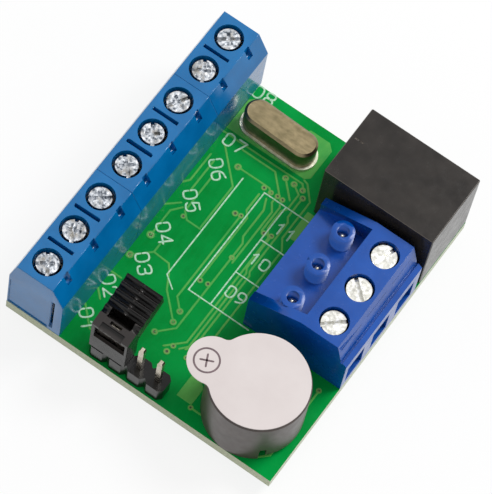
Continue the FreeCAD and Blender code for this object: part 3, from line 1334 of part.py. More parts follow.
def make_controller_chip():
    """The moulded controller chip, its edges bevelled and its first corner marked."""
    body = new_body("controller_chip_body")
    outline = draw_outline(sketch(body, "chip_outline", "XY_Plane"), rectangle(
        "-chip_width / 2", "-chip_length / 2", "chip_width / 2", "chip_length / 2"))
    block = pad(body, outline, "chip_height", backwards=True)
    bottom = -size("chip_height")
    bevel(body, block, lambda edge: edge.BoundBox.ZMax < bottom + SMALL, "chip_bevel")
    mark = draw_polygon(sketch(body, "first_lead_mark", "XY_Plane", "-chip_height"),
                        "chip_width / 2 - chip_mark_margin - chip_mark / 2",
                        "chip_length / 2 - chip_mark_margin - chip_mark / 2", "chip_mark / 2")
    pocket(body, mark, "chip_mark_depth", backwards=True)
    finish(body, "controller_chip", CHIP_X, CHIP_Y, UNDERSIDE + " - chip_standoff")


def chip_leads():
    """Stepped leads along both sides of the controller chip."""
    half = "(lead_reach / 2)"
    level = "(%s - chip_standoff - chip_height / 2)" % UNDERSIDE
    leads = []
    for number in range(CHIP_LEADS_PER_SIDE):
        along = "%s + chip_pitch * %g" % (CHIP_Y, number - (CHIP_LEADS_PER_SIDE - 1) / 2)
        for sign in "-+":
            shoulder = "%s %s (chip_width / 2 + %s / 2)" % (CHIP_X, sign, half)
            step = "%s %s (chip_width / 2 + %s)" % (CHIP_X, sign, half)
            foot = "%s %s (chip_width / 2 + %s * 1.5)" % (CHIP_X, sign, half)
            leads.append(fuse(
                middle_box(half, "lead_width", "lead_thickness", shoulder, along, level),
                middle_box("lead_thickness", "lead_width", "%s - %s" % (UNDERSIDE, level),
                           step, along, level),
                middle_box(half, "lead_width", "lead_thickness",
                           foot, along, UNDERSIDE + " - lead_thickness")))
    return leads


def flat_lead(spot, offset, side, width):
    """One flat lead that comes out of a small package's long side."""
    along = "%s %s (%s / 2 + lead_reach / 4)" % (spot[1], side, width)
    return middle_box("lead_width", "lead_reach / 2", "lead_thickness", "%s + %s" % (spot[0], offset), along,
                      UNDERSIDE + " - lead_thickness")


def make_component_leads():
    """Leads of the controller chip, the regulator and the transistors."""
    leads = chip_leads()
    for place in REGULATOR:
        spot = from_middle(place)
        leads += [flat_lead(spot, "%d * regulator_lead_spacing" % share, "-", "regulator_width")
                  for share in (-1, 0, 1)]
        leads.append(flat_lead(spot, "0", "+", "regulator_width"))
    for spot in TRANSISTOR_SPOTS:
        leads += [flat_lead(spot, "%d * transistor_lead_spacing / 2" % share, "-", "transistor_width")
                  for share in (-1, 1)]
        leads.append(flat_lead(spot, "0", "+", "transistor_width"))
    finish(group(leads), "component_leads", "0", "0")


def make_small_packages():
    """The regulator, transistors and diodes."""
    blocks = [under_block(from_middle(place), "regulator_length", "regulator_width", "regulator_height")
              for place in REGULATOR]
    blocks += [under_block(spot, "transistor_length", "transistor_width", "transistor_height")
               for spot in TRANSISTOR_SPOTS]
    blocks += [under_block(from_middle(place), "diode_length", "diode_width", "diode_height")
               for place in DIODES]
    finish(group(blocks), "small_packages", "0", "0")


def make_chip_passives():
    """Chip resistors and capacitors."""
    blocks = [under_block(spot, "passive_length", "passive_width", "resistor_height")
              for spot in RESISTOR_SPOTS]
    blocks += [under_block(from_middle(place), "passive_length", "passive_width", "capacitor_height")
               for place in CAPACITORS]
    finish(group(blocks), "chip_passives", "0", "0")


# The whole module


def build():
    """Make every piece in turn."""
    fill_sheet()
    make_board()
    make_signal_housing("signal_housing_front", 0, 3)
    make_signal_housing("signal_housing_middle", 3, 3)
    make_signal_housing("signal_housing_rear", 6, 2)
    make_signal_contacts()
    for way in range(SIGNAL_WAYS):
        make_signal_screw(way)
        make_signal_leaf(way)
    make_relay_terminal_housing()
    make_relay_terminal_contacts()
    for way in range(RELAY_WAYS):
        make_relay_cage(way)
        make_relay_terminal_screw(way)
    make_relay_cover()
    make_relay_base()
    make_relay_bobbin()
    make_relay_winding()
    make_relay_core()
    make_relay_yoke()
    make_relay_armature()
    make_relay_contact_spring()
    make_relay_fixed_contacts()
    make_relay_pins()
    make_buzzer_case()
    make_buzzer_base()
    make_buzzer_pins()
    make_buzzer_yoke()
    make_buzzer_magnet_and_coil()
    make_buzzer_diaphragm()
    make_buzzer_seal()
    make_crystal_can()
    make_crystal_base()
    make_crystal_leads()
    make_crystal_blank()
    make_header_body()
    make_header_pins()
    make_jumper_cap()
    make_jumper_contact()
    make_controller_chip()
    make_component_leads()
    make_small_packages()
    make_chip_passives()
    make_solder_joints()
    doc.recompute()


def check():
    """Stop if anything failed to build."""
    for thing in doc.Objects:
        if "Invalid" in thing.State or "Error" in thing.State:
            raise ValueError("%s (%s) did not build" % (thing.Name, thing.Label))
    for piece in pieces:
        if piece.Shape.isNull() or not piece.Shape.isValid() or not piece.Shape.Solids:
            raise ValueError(piece.Label + " has no valid solid")


def write():
    """Save each piece under its label."""
    os.makedirs("parts", exist_ok=True)
    for piece in pieces:
        piece.Shape.exportStep("parts/%s.step" % piece.Label)
    print(len(pieces), "pieces")


build()
check()
write()
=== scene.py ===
import math

import bmesh
import bpy
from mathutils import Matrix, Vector


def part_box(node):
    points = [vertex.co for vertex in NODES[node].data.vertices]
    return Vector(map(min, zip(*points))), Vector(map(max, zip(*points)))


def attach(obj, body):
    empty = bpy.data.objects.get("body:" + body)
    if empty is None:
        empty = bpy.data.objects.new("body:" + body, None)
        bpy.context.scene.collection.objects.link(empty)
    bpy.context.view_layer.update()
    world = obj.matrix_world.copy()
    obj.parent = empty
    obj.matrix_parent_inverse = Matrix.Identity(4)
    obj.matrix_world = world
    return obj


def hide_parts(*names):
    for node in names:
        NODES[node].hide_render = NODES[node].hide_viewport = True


# Looks of a bare access controller module: circuit board, two rows of wire terminals, relay,
# buzzer, crystal and a pin header with its jumper. Lengths here are in millimetres, measured
# like the board: from its near left corner, and up from its component side.

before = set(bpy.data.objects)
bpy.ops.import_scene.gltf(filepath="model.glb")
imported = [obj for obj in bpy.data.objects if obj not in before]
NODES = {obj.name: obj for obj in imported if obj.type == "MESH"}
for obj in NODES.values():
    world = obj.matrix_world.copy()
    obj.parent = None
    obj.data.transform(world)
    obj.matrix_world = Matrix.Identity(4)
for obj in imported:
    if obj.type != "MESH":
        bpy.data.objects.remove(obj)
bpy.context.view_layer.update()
MM = 0.001
BOARD_LOW, BOARD_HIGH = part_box("board")
UNDERSIDE = (BOARD_LOW.z - BOARD_HIGH.z) / MM
FIXED = "module"

SIGNAL_SCREWS = ["signal_screw_%d" % way for way in range(1, 9)]
SIGNAL_LEAVES = ["signal_leaf_%d" % way for way in range(1, 9)]
RELAY_SCREWS = ["relay_terminal_screw_%d" % way for way in range(1, 4)]
RELAY_CAGES = ["relay_cage_%d" % way for way in range(1, 4)]

# Print and copper: heights over the mask, widths, and how far the edges of their tops slant in
SUNK = 0.01
COPPER_HEIGHT = 0.035
POUR_HEIGHT = 0.03
INK_HEIGHT = 0.05
CROSSING_STEP = 0.003
CROSSING_LEVELS = 4
TRACK_WIDTH = 0.27
LOWER_TRACK_WIDTH = 0.351
INK_WIDTH = 0.2
NUMBER_WIDTH = 0.25
COPPER_SLANT = 0.04
INK_SLANT = 0.03
SIGNAL_NUMBER_HEIGHT = 1.6
RELAY_NUMBER_HEIGHT = 1.45

# Vias: radii as shares of the copper ring's, and heights
VIA_HOLE = 0.42
VIA_TIN = 0.7
VIA_DIMPLE = 0.2
VIA_RISE = 0.012
VIA_TIN_RISE = 0.02
VIA_SIDES = 24
PLUG_RIM = 0.012
PLUG_MIDDLE = 0.004
PLUG_SIDES = 12

# Pads and end caps under the board
LEAD_MARGIN = 0.12
PASSIVE_REACH = 1.0
PASSIVE_PAD_LENGTH = 0.7
PASSIVE_PAD_WIDTH = 1.4
CAP_LENGTH = 0.4
CAP_RISE = 0.02
CAP_SUNK = 0.005

# How far a tip or lug reaches into the contact below it
OVERLAP = 0.02

# Solder cone: radius and height over the tip, then the foot
SOLDER_CURVE = [(0.02, 0.0), (0.38, 0.03), (0.45, 0.18), (0.52, 0.34), (0.64, 0.52), (0.8, 0.68)]
SOLDER_FOOT = 0.03
SOLDER_SPREAD = 1.06
SOLDER_SIDES = 20

# Rounded ends of the posts in the test holes of the relay terminal block
TEST_HOLES = [(27.35, 16.47), (27.35, 21.55), (27.35, 26.63)]
TIP_RADIUS = 0.42
TIP_RISE = 0.6
TIP_DOME = 0.4
TIP_ANGLES = (25, 50, 70, 86)
TIP_SIDES = 20
TIP_SHARP_ANGLE = 60

# Fold of the jumper's contact in its slit
LUG_LENGTH = 1.24
LUG_WIDTH = 0.26
LUG_TOP = 8.32
LUG_SLANT = 0.05

# Plus sign in a circle on the seal's pull tab
MARK_PLACE = (23.97, 4.42)
MARK_INNER = 1.36
MARK_OUTER = 1.58
MARK_REACH = 0.74
MARK_WIDTH = 0.22
MARK_HEIGHT = 0.012
MARK_ANGLES = (25, 115)
MARK_SIDES = 48

# Rounding of CAD nodes: angles in degrees, and how much room a rounding needs beside it
MERGE_DISTANCE = 0.002
FLAT_ANGLE = 1
CORNER_ANGLE = 28
SHARP_ANGLE = 50
SHORT_EDGE = 2.0
ROUNDING_ROOM = 2.5
END_GROOVE = ((5.86, -0.3, 0.9), (6.24, 0.75, 7.4))
JUMPER_WINDOW = ((12.0, 1.85, 7.15), (15.2, 3.15, 12.0))
JUMPER_FRONT = ((11.55, -0.1, 5.6), (15.7, 0.95, 8.05))

# Camera, lights and floor, in metres and degrees
CAMERA_PLACE = (0.072048, -0.171869, 0.405744)
CAMERA_TURN = (24.4627, -5.6086, 34.7608)
CAMERA_LENS = 280.36
CAMERA_SENSOR = 36
CAMERA_NEAR = 0.01
WORLD_LIGHT = 0.52
WORLD_SEEN = 1.0
LAMP_PLACE = (0.18, 0.3, 0.5)
LAMP_SIZE = 0.25
LAMP_POWER = 2.1
FLOOR_SIZE = 3.0
FLOOR_ROUGHNESS = 0.9
FLOOR_TONE = (0.8, 0.8, 0.8)
WHITE = (1.0, 1.0, 1.0)
FLOOR_GLOW = 0.85

# Noise: how many layers of detail it has. It seldom leaves this range, so tones and polish
# reach their ends there.
COARSE = 2.0
PLAIN = 3.0
FINE = 4.0
FINEST = 5.0
NOISE_LOW = 0.3
NOISE_HIGH = 0.7


def place(x, y, z=0.0):
    """A point of the board's own measure, in the frame's metres."""
    return Vector((BOARD_LOW.x + x * MM, BOARD_LOW.y + y * MM, BOARD_HIGH.z + z * MM))


def measure(point):
    """A point of the frame in the board's own measure."""
    return ((point.x - BOARD_LOW.x) / MM, (point.y - BOARD_LOW.y) / MM,
            (point.z - BOARD_HIGH.z) / MM)


def tint(red, green, blue):
    """A colour written as it shows on a screen, 0 to 255, as linear light."""
    linear = []
    for value in (red, green, blue):
        share = value / 255
        linear.append(share / 12.92 if share <= 0.04045 else ((share + 0.055) / 1.055) ** 2.4)
    return tuple(linear)


# Shader helpers


class Shader:
    """A node material with a principled surface, and short calls for what feeds it."""

    def __init__(self, name, roughness, metallic=0.0):
        self.material = bpy.data.materials.new(name)
        self.material.use_nodes = True
        self.nodes = self.material.node_tree.nodes
        self.links = self.material.node_tree.links
        self.surface = self.nodes["Principled BSDF"]
        self.surface.inputs["Roughness"].default_value = roughness
        self.surface.inputs["Metallic"].default_value = metallic
        self.where = self.nodes.new("ShaderNodeTexCoord").outputs["Object"]

    def specular(self, level):
        """Set how strongly the surface reflects, on its own socket."""
        self.surface.inputs["Specular IOR Level"].default_value = level

    def stretched(self, stretch):
        """The place on the piece, with each axis stretched."""
        mapping = self.nodes.new("ShaderNodeMapping")
        mapping.inputs["Scale"].default_value = stretch
        self.links.new(self.where, mapping.inputs["Vector"])
        return mapping.outputs["Vector"]

    def noise(self, grain, detail=PLAIN, stretch=(1, 1, 1)):
        """Noise whose features are about as many millimetres wide as grain says."""
        texture = self.nodes.new("ShaderNodeTexNoise")
        texture.inputs["Scale"].default_value = 1 / (grain * MM)
        texture.inputs["Detail"].default_value = detail
        self.links.new(self.stretched(stretch), texture.inputs["Vector"])
        return texture.outputs["Fac"]

    def ramp(self, value, stops):
        """Colours along a value: pairs of position and colour."""
        ramp = self.nodes.new("ShaderNodeValToRGB")
        while len(ramp.color_ramp.elements) < len(stops):
            ramp.color_ramp.elements.new(0.5)
        for element, (position, colour) in zip(ramp.color_ramp.elements, stops):
            element.position = position
            element.color = (*colour, 1)
        self.links.new(value, ramp.inputs["Fac"])
        return ramp.outputs["Color"]

    def tones(self, value, dark, light):
        """Two tones along a noise."""
        return self.ramp(value, [(NOISE_LOW, dark), (NOISE_HIGH, light)])

    def mix(self, share, first, second):
        """Two colours mixed by a value."""
        mix = self.nodes.new("ShaderNodeMix")
        mix.data_type = "RGBA"
        self.links.new(share, mix.inputs["Factor"])
        for socket, colour in ((mix.inputs["A"], first), (mix.inputs["B"], second)):
            if isinstance(colour, tuple):
                socket.default_value = (*colour, 1)
            else:
                self.links.new(colour, socket)
        return mix.outputs["Result"]

    def math(self, operation, first, second):
        """Two values joined by an operation."""
        node = self.nodes.new("ShaderNodeMath")
        node.operation = operation
        for socket, value in zip(node.inputs, (first, second)):
            if isinstance(value, (int, float)):
                socket.default_value = value
            else:
                self.links.new(value, socket)
        return node.outputs["Value"]

    def range(self, value, low, high, out_low=0.0, out_high=1.0):
        """A value stretched from one range to another and clipped there."""
        node = self.nodes.new("ShaderNodeMapRange")
        ends = {"From Min": low, "From Max": high, "To Min": out_low, "To Max": out_high}
        for socket, number in ends.items():
            node.inputs[socket].default_value = number
        self.links.new(value, node.inputs["Value"])
        return node.outputs["Result"]

    def colour(self, output):
        """Feed the surface's colour."""
        self.links.new(output, self.surface.inputs["Base Color"])

    def polish(self, noise, low, high):
        """Feed the surface's roughness from a noise, between two ends."""
        spread = self.range(noise, NOISE_LOW, NOISE_HIGH, low, high)
        self.links.new(spread, self.surface.inputs["Roughness"])

    def bump(self, height, depth):
        """Raise the surface by depth millimetres where height is 1."""
        bump = self.nodes.new("ShaderNodeBump")
        bump.inputs["Strength"].default_value = 1.0
        bump.inputs["Distance"].default_value = depth * MM
        self.links.new(height, bump.inputs["Height"])
        self.links.new(bump.outputs["Normal"], self.surface.inputs["Normal"])

    def facing(self, axis):
        """How far the surface faces along one axis of the module, either way, from 0 to 1."""
        geometry = self.nodes.new("ShaderNodeNewGeometry")
        split = self.nodes.new("ShaderNodeSeparateXYZ")
        self.links.new(geometry.outputs["Normal"], split.inputs["Vector"])
        return self.math("ABSOLUTE", split.outputs[axis], 0.0)

    def rims(self):
        """1 on the rounded rim of a top, which faces partly up and to no side squarely."""
        sides = self.math("MAXIMUM", self.facing("X"), self.facing("Y"))
        square = self.math("MAXIMUM", sides, self.facing("Z"))
        corner = self.range(square, low=0.8, high=0.95, out_low=1.0, out_high=0.0)
        upward = self.range(self.facing("Z"), low=0.15, high=0.3)
        return self.math("MULTIPLY", corner, upward)


def moulded(name, dark, light, roughness, grain=0.5, depth=0.004, specular=0.5,
            rim_highlight=None, top_highlight=None):
    """Moulded plastic: a faint mottle and a fine skin. Rims and up-facing tops may get a painted
    highlight, a lighter colour.
    """
    mottle_grain, polish_grain, skin_grain = grain * 6, grain * 2, grain * 0.35
    polish_spread = 0.05
    shader = Shader(name, roughness)
    shader.specular(specular)
    colour = shader.tones(shader.noise(mottle_grain), dark, light)
    # Painted highlight: rounded rims that face partly up get a lighter colour.
    if rim_highlight:
        colour = shader.mix(shader.rims(), colour, rim_highlight)
    # Painted highlight: faces that face squarely up get a lighter colour.
    if top_highlight:
        upward = shader.range(shader.facing("Z"), low=0.85, high=0.95)
        colour = shader.mix(upward, colour, top_highlight)
    shader.colour(colour)
    shader.polish(shader.noise(polish_grain), roughness - polish_spread, roughness + polish_spread)
    shader.bump(shader.noise(skin_grain), depth)
    return shader.material


def metal(name, dark, light, roughness, grain=0.6, depth=0.006, stretch=(1, 1, 1)):
    """Plated or bare metal with small changes of tone and polish."""
    polish_grain, mark_grain = grain * 0.7, grain * 0.4
    smoothest, roughest = max(roughness - 0.1, 0.05), roughness + 0.12
    shader = Shader(name, roughness, metallic=1.0)
    shader.colour(shader.tones(shader.noise(grain, FINE, stretch), dark, light))
    shader.polish(shader.noise(polish_grain, FINE, stretch), smoothest, roughest)
    shader.bump(shader.noise(mark_grain, PLAIN, stretch), depth)
    return shader.material


def mask_shader(name, dark, light, specular):
    """Solder mask: a glassy green coat whose tone drifts over the weave below it."""
    shader = Shader(name, roughness=0.24)
    shader.specular(specular)
    drift = shader.tones(shader.noise(grain=8.0, detail=FINE), dark, light)
    threads = shader.noise(grain=0.55, detail=COARSE, stretch=(1, 0.25, 1))
    weave = shader.range(threads, low=0.35, high=0.65, out_high=0.3)
    shader.colour(shader.mix(weave, drift, light))
    shader.polish(shader.noise(grain=1.4), low=0.18, high=0.34)
    shader.bump(shader.noise(grain=0.9), depth=0.01)
    return shader


def board_material():
    """Green solder mask on both faces and bare glass laminate on the cut edges."""
    shader = mask_shader("solder_mask", tint(0, 134, 49), tint(4, 164, 72), specular=0.05)
    mask = shader.surface.inputs["Base Color"].links[0].from_socket
    strands = shader.noise(grain=0.4, detail=FINE, stretch=(1, 1, 6))
    edge = shader.tones(strands, tint(176, 182, 150), tint(220, 226, 198))
    face = shader.range(shader.facing("Z"), low=0.3, high=0.6)
    shader.colour(shader.mix(face, edge, mask))
    return shader.material


def ink_material():
    """White print, thin enough that the green shows through."""
    shader = Shader("white_ink", roughness=0.55)
    thin, thick = (0.35, tint(150, 216, 170)), (0.6, tint(206, 238, 208))
    shader.colour(shader.ramp(shader.noise(grain=0.25, detail=FINE), [thin, thick]))
    shader.bump(shader.noise(grain=0.12), depth=0.01)
    return shader.material


def screw_material(name, dark, light, stain, marks):
    """Bright plated screws: stain is the strength of the stains, marks the tool marks' depth."""
    shader = Shader(name, roughness=0.3, metallic=1.0)
    stops = [(0.36, dark), (0.5, light), (0.66, tint(244, 245, 248))]
    tone = shader.ramp(shader.noise(grain=0.45, detail=FINE), stops)
    share = shader.range(shader.noise(grain=0.9), low=0.5, high=0.68, out_high=stain)
    shader.colour(shader.mix(share, tone, tint(120, 112, 96)))
    shader.polish(shader.noise(grain=0.35, detail=FINE), low=0.16, high=0.4)
    shader.bump(shader.noise(grain=0.4, detail=FINE), marks)
    return shader.material


def crystal_material():
    """Drawn nickel silver with a brushed, faintly speckled top."""
    shader = Shader("crystal_steel", roughness=0.36, metallic=1.0)
    brushed = shader.noise(grain=0.5, detail=FINEST, stretch=(0.4, 1, 1))
    shader.colour(shader.tones(brushed, tint(116, 106, 80), tint(146, 132, 102)))
    shader.polish(shader.noise(grain=0.3, detail=FINE), low=0.28, high=0.44)
    shader.bump(shader.noise(grain=0.2, detail=FINE, stretch=(0.3, 1, 1)), depth=0.006)
    return shader.material


# Mesh helpers


class Form:
    """Closed solids gathered into one mesh, in the board's own measure."""

    def __init__(self):
        self.points = []
        self.faces = []

    def tube(self, rings, close=True):
        """Join rings of equal length, each a list of points, and close both ends."""
        start = len(self.points)
        count = len(rings[0])
        faces = []
        for level in range(len(rings) - 1):
            lower, upper = level * count, (level + 1) * count
            for i in range(count):
                j = (i + 1) % count
                faces.append((lower + i, lower + j, upper + j, upper + i))
        if close:
            faces.append(tuple(reversed(range(count))))
            faces.append(tuple((len(rings) - 1) * count + i for i in range(count)))
        self.points += [point for ring in rings for point in ring]
        self.faces += [tuple(start + index for index in face) for face in faces]

    def plate(self, outline, low, high, slant=0.0):
        """A flat plate from an anticlockwise outline, whose upper edge may slant inward."""
        upper = inset(outline, slant) if slant else outline
        self.tube([[(x, y, low) for x, y in outline], [(x, y, high) for x, y in upper]])

    def strip(self, line, width, low, high, slant=0.0):
        """A raised strip along a line, with mitred corners and cut corners at its ends."""
        self.plate(strip_outline(line, width), low, high, slant)

    def lathe(self, x, y, profile, sides):
        """A solid turned about an upright axis, from its lower to its upper middle."""
        self.tube([circle(x, y, radius, z, sides) for radius, z in profile])

    def ring(self, x, y, inner, outer, low, high, sides):
        """A flat ring."""
        corners = [(outer, low), (outer, high), (inner, high), (inner, low)]
        rings = [circle(x, y, radius, z, sides) for radius, z in corners]
        self.tube(rings + rings[:1], close=False)

    def build(self, name, material, body=FIXED, smooth=None):
        """Make the mesh a piece of the module, with the material it is given."""
        mesh = bpy.data.meshes.new(name)
        mesh.from_pydata([place(*point) for point in self.points], [], self.faces)
        tidy_mesh(mesh, smooth)
        mesh.materials.append(material)
        piece = bpy.data.objects.new(name, mesh)
        bpy.context.scene.collection.objects.link(piece)
        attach(piece, body)
        return piece


def circle(x, y, radius, z, sides):
    """Points evenly spread once round a middle."""
    angles = [2 * math.pi * i / sides for i in range(sides)]
    return [(x + radius * math.cos(angle), y + radius * math.sin(angle), z) for angle in angles]


def rectangle(low, high):
    """Anticlockwise outline of a rectangle, from its low and high corners."""
    return [(low[0], low[1]), (high[0], low[1]), (high[0], high[1]), (low[0], high[1])]


def centred(x, y, length, width):
    """Outline of a rectangle about its middle, its length along X."""
    return rectangle((x - length / 2, y - width / 2), (x + length / 2, y + width / 2))


def inset(outline, amount):
    """An anticlockwise outline moved inward by an amount."""
    points = [Vector(point) for point in outline]
    moved = []
    for i, point in enumerate(points):
        before = point - points[i - 1]
        after = points[(i + 1) % len(points)] - point
        moved.append(mitre(point, before, after, -amount))
    return moved


def mitre(corner, before, after, amount):
    """A corner moved to the right of its two runs by an amount; a sharp corner moves less."""
    smallest_scale = 0.4
    before = before.normalized()
    after = after.normalized()
    across = Vector((before.y + after.y, -before.x - after.x))
    scale = max(1 + before.dot(after), smallest_scale)
    return tuple(corner + across * (amount / scale))


def strip_outline(line, width):
    """Anticlockwise outline of a strip along a line, its ends narrowed to look rounded."""
    end_share = 0.45
    half = width / 2
    points = [Vector(point) for point in line]
    runs = [end - start for start, end in zip(points, points[1:])]
    right = []
    left = []
    for point, before, after in zip(points, runs[:1] + runs, runs + runs[-1:]):
        right.append(mitre(point, before, after, half))
        left.append(mitre(point, before, after, -half))
    ends = []
    for point, run in ((points[0], -runs[0]), (points[-1], runs[-1])):
        reach = run.normalized() * half
        across = Vector((reach.y, -reach.x)) * end_share
        ends.append([tuple(point + reach + across), tuple(point + reach - across)])
    return ends[0] + right + ends[1] + left[::-1]


def tidy_mesh(mesh, smooth):
    """Make the faces point outward, and smooth the edges below an angle in degrees."""
    work = bmesh.new()
    work.from_mesh(mesh)
    bmesh.ops.recalc_face_normals(work, faces=work.faces)
    work.to_mesh(mesh)
    work.free()
    if smooth:
        mesh.shade_smooth()
        mesh.set_sharp_from_angle(angle=math.radians(smooth))


def welded(node):
    """A working copy of a CAD node's mesh, with the points that coincide joined."""
    work = bmesh.new()
    work.from_mesh(NODES[node].data)
    bmesh.ops.remove_doubles(work, verts=work.verts, dist=MERGE_DISTANCE * MM)
    return work


def soften(node, width, body=FIXED, cuts=()):
    """Stand for a CAD node with the same shape, whose long outer edges are rounded off.

    cuts are the low and high corners of boxes that are taken out of it.
    """
    work = welded(node)
    bmesh.ops.dissolve_limit(work, angle_limit=math.radians(FLAT_ANGLE), verts=work.verts,
                             edges=work.edges, delimit={"NORMAL"})
    edges = [edge for edge in work.edges if can_be_rounded(edge, width * MM)]
    bmesh.ops.bevel(work, geom=edges, offset=width * MM, offset_type="OFFSET", segments=2,
                    profile=0.5, affect="EDGES", clamp_overlap=True)
    mesh = bpy.data.meshes.new(node + "_soft")
    work.to_mesh(mesh)
    work.free()
    mesh.shade_smooth()
    mesh.set_sharp_from_angle(angle=math.radians(SHARP_ANGLE))
    mesh.materials.append(NODES[node].data.materials[0])
    piece = bpy.data.objects.new(node + "_soft", mesh)
    bpy.context.scene.collection.objects.link(piece)
    for low, high in cuts:
        carve(piece, low, high)
    normals = piece.modifiers.new("weighted_normals", "WEIGHTED_NORMAL")
    normals.keep_sharp = True
    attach(piece, body)
    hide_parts(node)


def can_be_rounded(edge, width):
    """Whether an edge is a long outer corner with room beside it to be rounded off."""
    if len(edge.link_faces) != 2 or edge.calc_length() < SHORT_EDGE * MM:
        return False
    if not edge.is_convex or edge.calc_face_angle() < math.radians(CORNER_ANGLE):
        return False
    for face in edge.link_faces:
        longest = max(side.calc_length() for side in face.edges)
        if face.calc_area() / longest <= ROUNDING_ROOM * width:
            return False
    return True


def carve(piece, low, high):
    """Take a box out of a piece."""
    form = Form()
    form.plate(rectangle(low, high), low[2], high[2])
    cutter = form.build(piece.name + "_cutter", piece.data.materials[0])
    boolean = piece.modifiers.new("carve", "BOOLEAN")
    boolean.operation = "DIFFERENCE"
    boolean.solver = "EXACT"
    boolean.object = cutter
    bpy.context.view_layer.update()
    solved = piece.evaluated_get(bpy.context.evaluated_depsgraph_get())
    carved = bpy.data.meshes.new_from_object(solved)
    piece.modifiers.remove(boolean)
    piece.data = carved
    carved.set_sharp_from_angle(angle=math.radians(SHARP_ANGLE))
    bpy.data.objects.remove(cutter)


# Print and copper of the board

# Digits as the lines of their strokes, drawn 1 wide; each new digit starts a step farther
DIGIT_HEIGHT = 1.5
DIGIT_STEP = 1.45
DIGITS = {
    "0": [[(0, 0.87), (0, 1.5), (1, 1.5), (1, 0), (0, 0), (0, 0.63)]],
    "1": [[(0.15, 1.1), (0.5, 1.42)], [(0.55, 1.5), (0.55, 0)]],
    "2": [[(0, 1.1), (0, 1.5), (1, 1.5), (1, 0.85), (0.1, 0.1)], [(0, 0), (1, 0)]],
    "3": [[(0, 1.25), (0.2, 1.5), (1, 1.5), (1, 0.8), (0.4, 0.8)],
          [(0.62, 0.8), (1, 0.75), (1, 0), (0.1, 0), (0, 0.3)]],
    "4": [[(0.75, 0), (0.75, 1.5)], [(0.65, 1.4), (0.05, 0.5)], [(0, 0.42), (1, 0.42)]],
    "5": [[(0.95, 1.5), (0.15, 1.5)], [(0.13, 1.42), (0.05, 0.8)],
          [(0.05, 0.78), (1, 1.15), (1, 0), (0.2, 0), (0, 0.25)]],
    "6": [[(0.85, 1.5), (0, 1.2), (0, 0), (1, 0), (1, 0.9), (0.24, 0.9)]],
    "7": [[(0, 1.5), (1, 1.5)], [(0.95, 1.42), (0.35, 0)]],
    "8": [[(0.38, 0.82), (0, 0.9), (0, 1.5), (1, 1.5), (1, 0.9), (0.62, 0.82)],
          [(0.38, 0.72), (0, 0.7), (0, 0), (1, 0), (1, 0.7), (0.62, 0.72)]],
    "9": [[(0.15, 0), (1, 0.3), (1, 1.5), (0, 1.5), (0, 0.65), (0.76, 0.65)]],
}

# Numbers beside the terminals: text, middle, and the reading direction in degrees
SIGNAL_NUMBERS = [
    ("01", (8.7, 3.7), -45), ("02", (8.3, 8.6), -45), ("03", (9.8, 13.2), -45),
    ("04", (9.5, 17.8), -45), ("05", (9.6, 23.1), -45), ("06", (9.7, 28.2), -45),
    ("07", (9.4, 32.2), 0), ("08", (8.6, 39.45), 0),
]
RELAY_NUMBERS = [("11", (20.6, 26.4), 0), ("10", (20.4, 21.5), 0), ("09", (20.6, 16.4), 0)]

# Outline of the relay terminal block with its cells, and the bracket beside it
INK_LINES = [
    [(12.74, 29.1), (12.74, 13.75), (14.3, 12.6)],
    [(24.2, 13.7), (15.8, 13.7), (15.8, 29.1), (24.2, 29.1)],
    [(18.86, 13.7), (18.86, 29.1)],
    [(18.86, 23.9), (23.2, 23.9)],
    [(18.86, 18.8), (23.2, 18.8)],
]

# Tracks on the component side
TRACKS = [
    [(16.6, 10.85), (15.27, 12.2), (15.27, 24.9)],
    [(16.75, 9.3), (13.85, 12.15), (12.6, 14.4), (12.1, 15.0), (9.9, 15.15), (8.7, 13.95),
     (7.9, 13.2)],
    [(16.05, 15.7), (16.05, 25.2), (15.4, 26.0), (15.4, 28.6)],
    [(15.8, 7.1), (17.47, 8.9), (17.47, 22.2), (17.0, 23.0), (17.0, 27.2), (16.4, 28.6)],
    [(17.9, 19.5), (17.9, 27.6), (17.2, 28.6), (17.2, 29.5)],
    [(18.3, 24.9), (18.3, 28.6), (17.9, 29.5)],
    [(17.55, 6.25), (19.44, 8.2), (19.44, 24.6), (18.7, 25.6), (18.7, 28.4), (19.15, 29.0),
     (19.15, 31.3), (17.95, 32.1)],
    [(19.2, 7.0), (19.94, 7.9), (19.94, 19.4), (19.6, 20.0), (19.6, 24.9)],
    [(19.8, 7.4), (20.44, 8.2), (20.44, 19.3), (20.15, 19.8), (20.15, 27.6), (19.75, 28.2),
     (19.75, 31.1)],
    [(21.64, 10.4), (21.64, 24.2), (20.75, 25.6), (20.75, 31.3), (19.15, 33.1), (18.6, 33.25)],
    [(11.45, 29.95), (15.9, 29.95), (16.4, 29.5)],
    [(10.6, 32.1), (15.25, 32.1), (17.5, 29.75)],
    [(16.7, 32.15), (18.7, 30.1)],
    [(7.2, 32.75), (18.7, 32.75), (19.3, 32.1)],
    [(8.6, 31.35), (12.4, 27.5), (12.4, 21.0)],
    [(7.95, 29.4), (7.95, 25.2), (7.4, 24.5)],
    [(8.75, 28.9), (8.75, 24.0)],
    [(9.75, 27.2), (9.75, 21.6), (10.6, 20.75), (12.5, 20.75)],
    [(7.3, 20.8), (8.8, 22.2)],
    [(8.35, 16.7), (8.35, 20.6), (9.3, 21.8)],
    [(6.9, 10.2), (8.8, 10.2)],
    [(7.4, 7.6), (8.4, 6.6)],
    [(9.9, 15.15), (9.9, 16.6)],
    [(6.9, 5.6), (9.6, 2.9), (11.3, 2.9), (12.3, 1.9)],
    [(20.6, 6.6), (22.6, 6.6), (24.2, 8.2)],
    [(24.6, 1.9), (29.0, 1.9)],
    [(24.9, 10.9), (27.35, 13.4), (27.35, 14.6)],
    [(34.9, 12.3), (34.9, 2.6), (33.9, 1.6), (31.6, 1.6)],
]

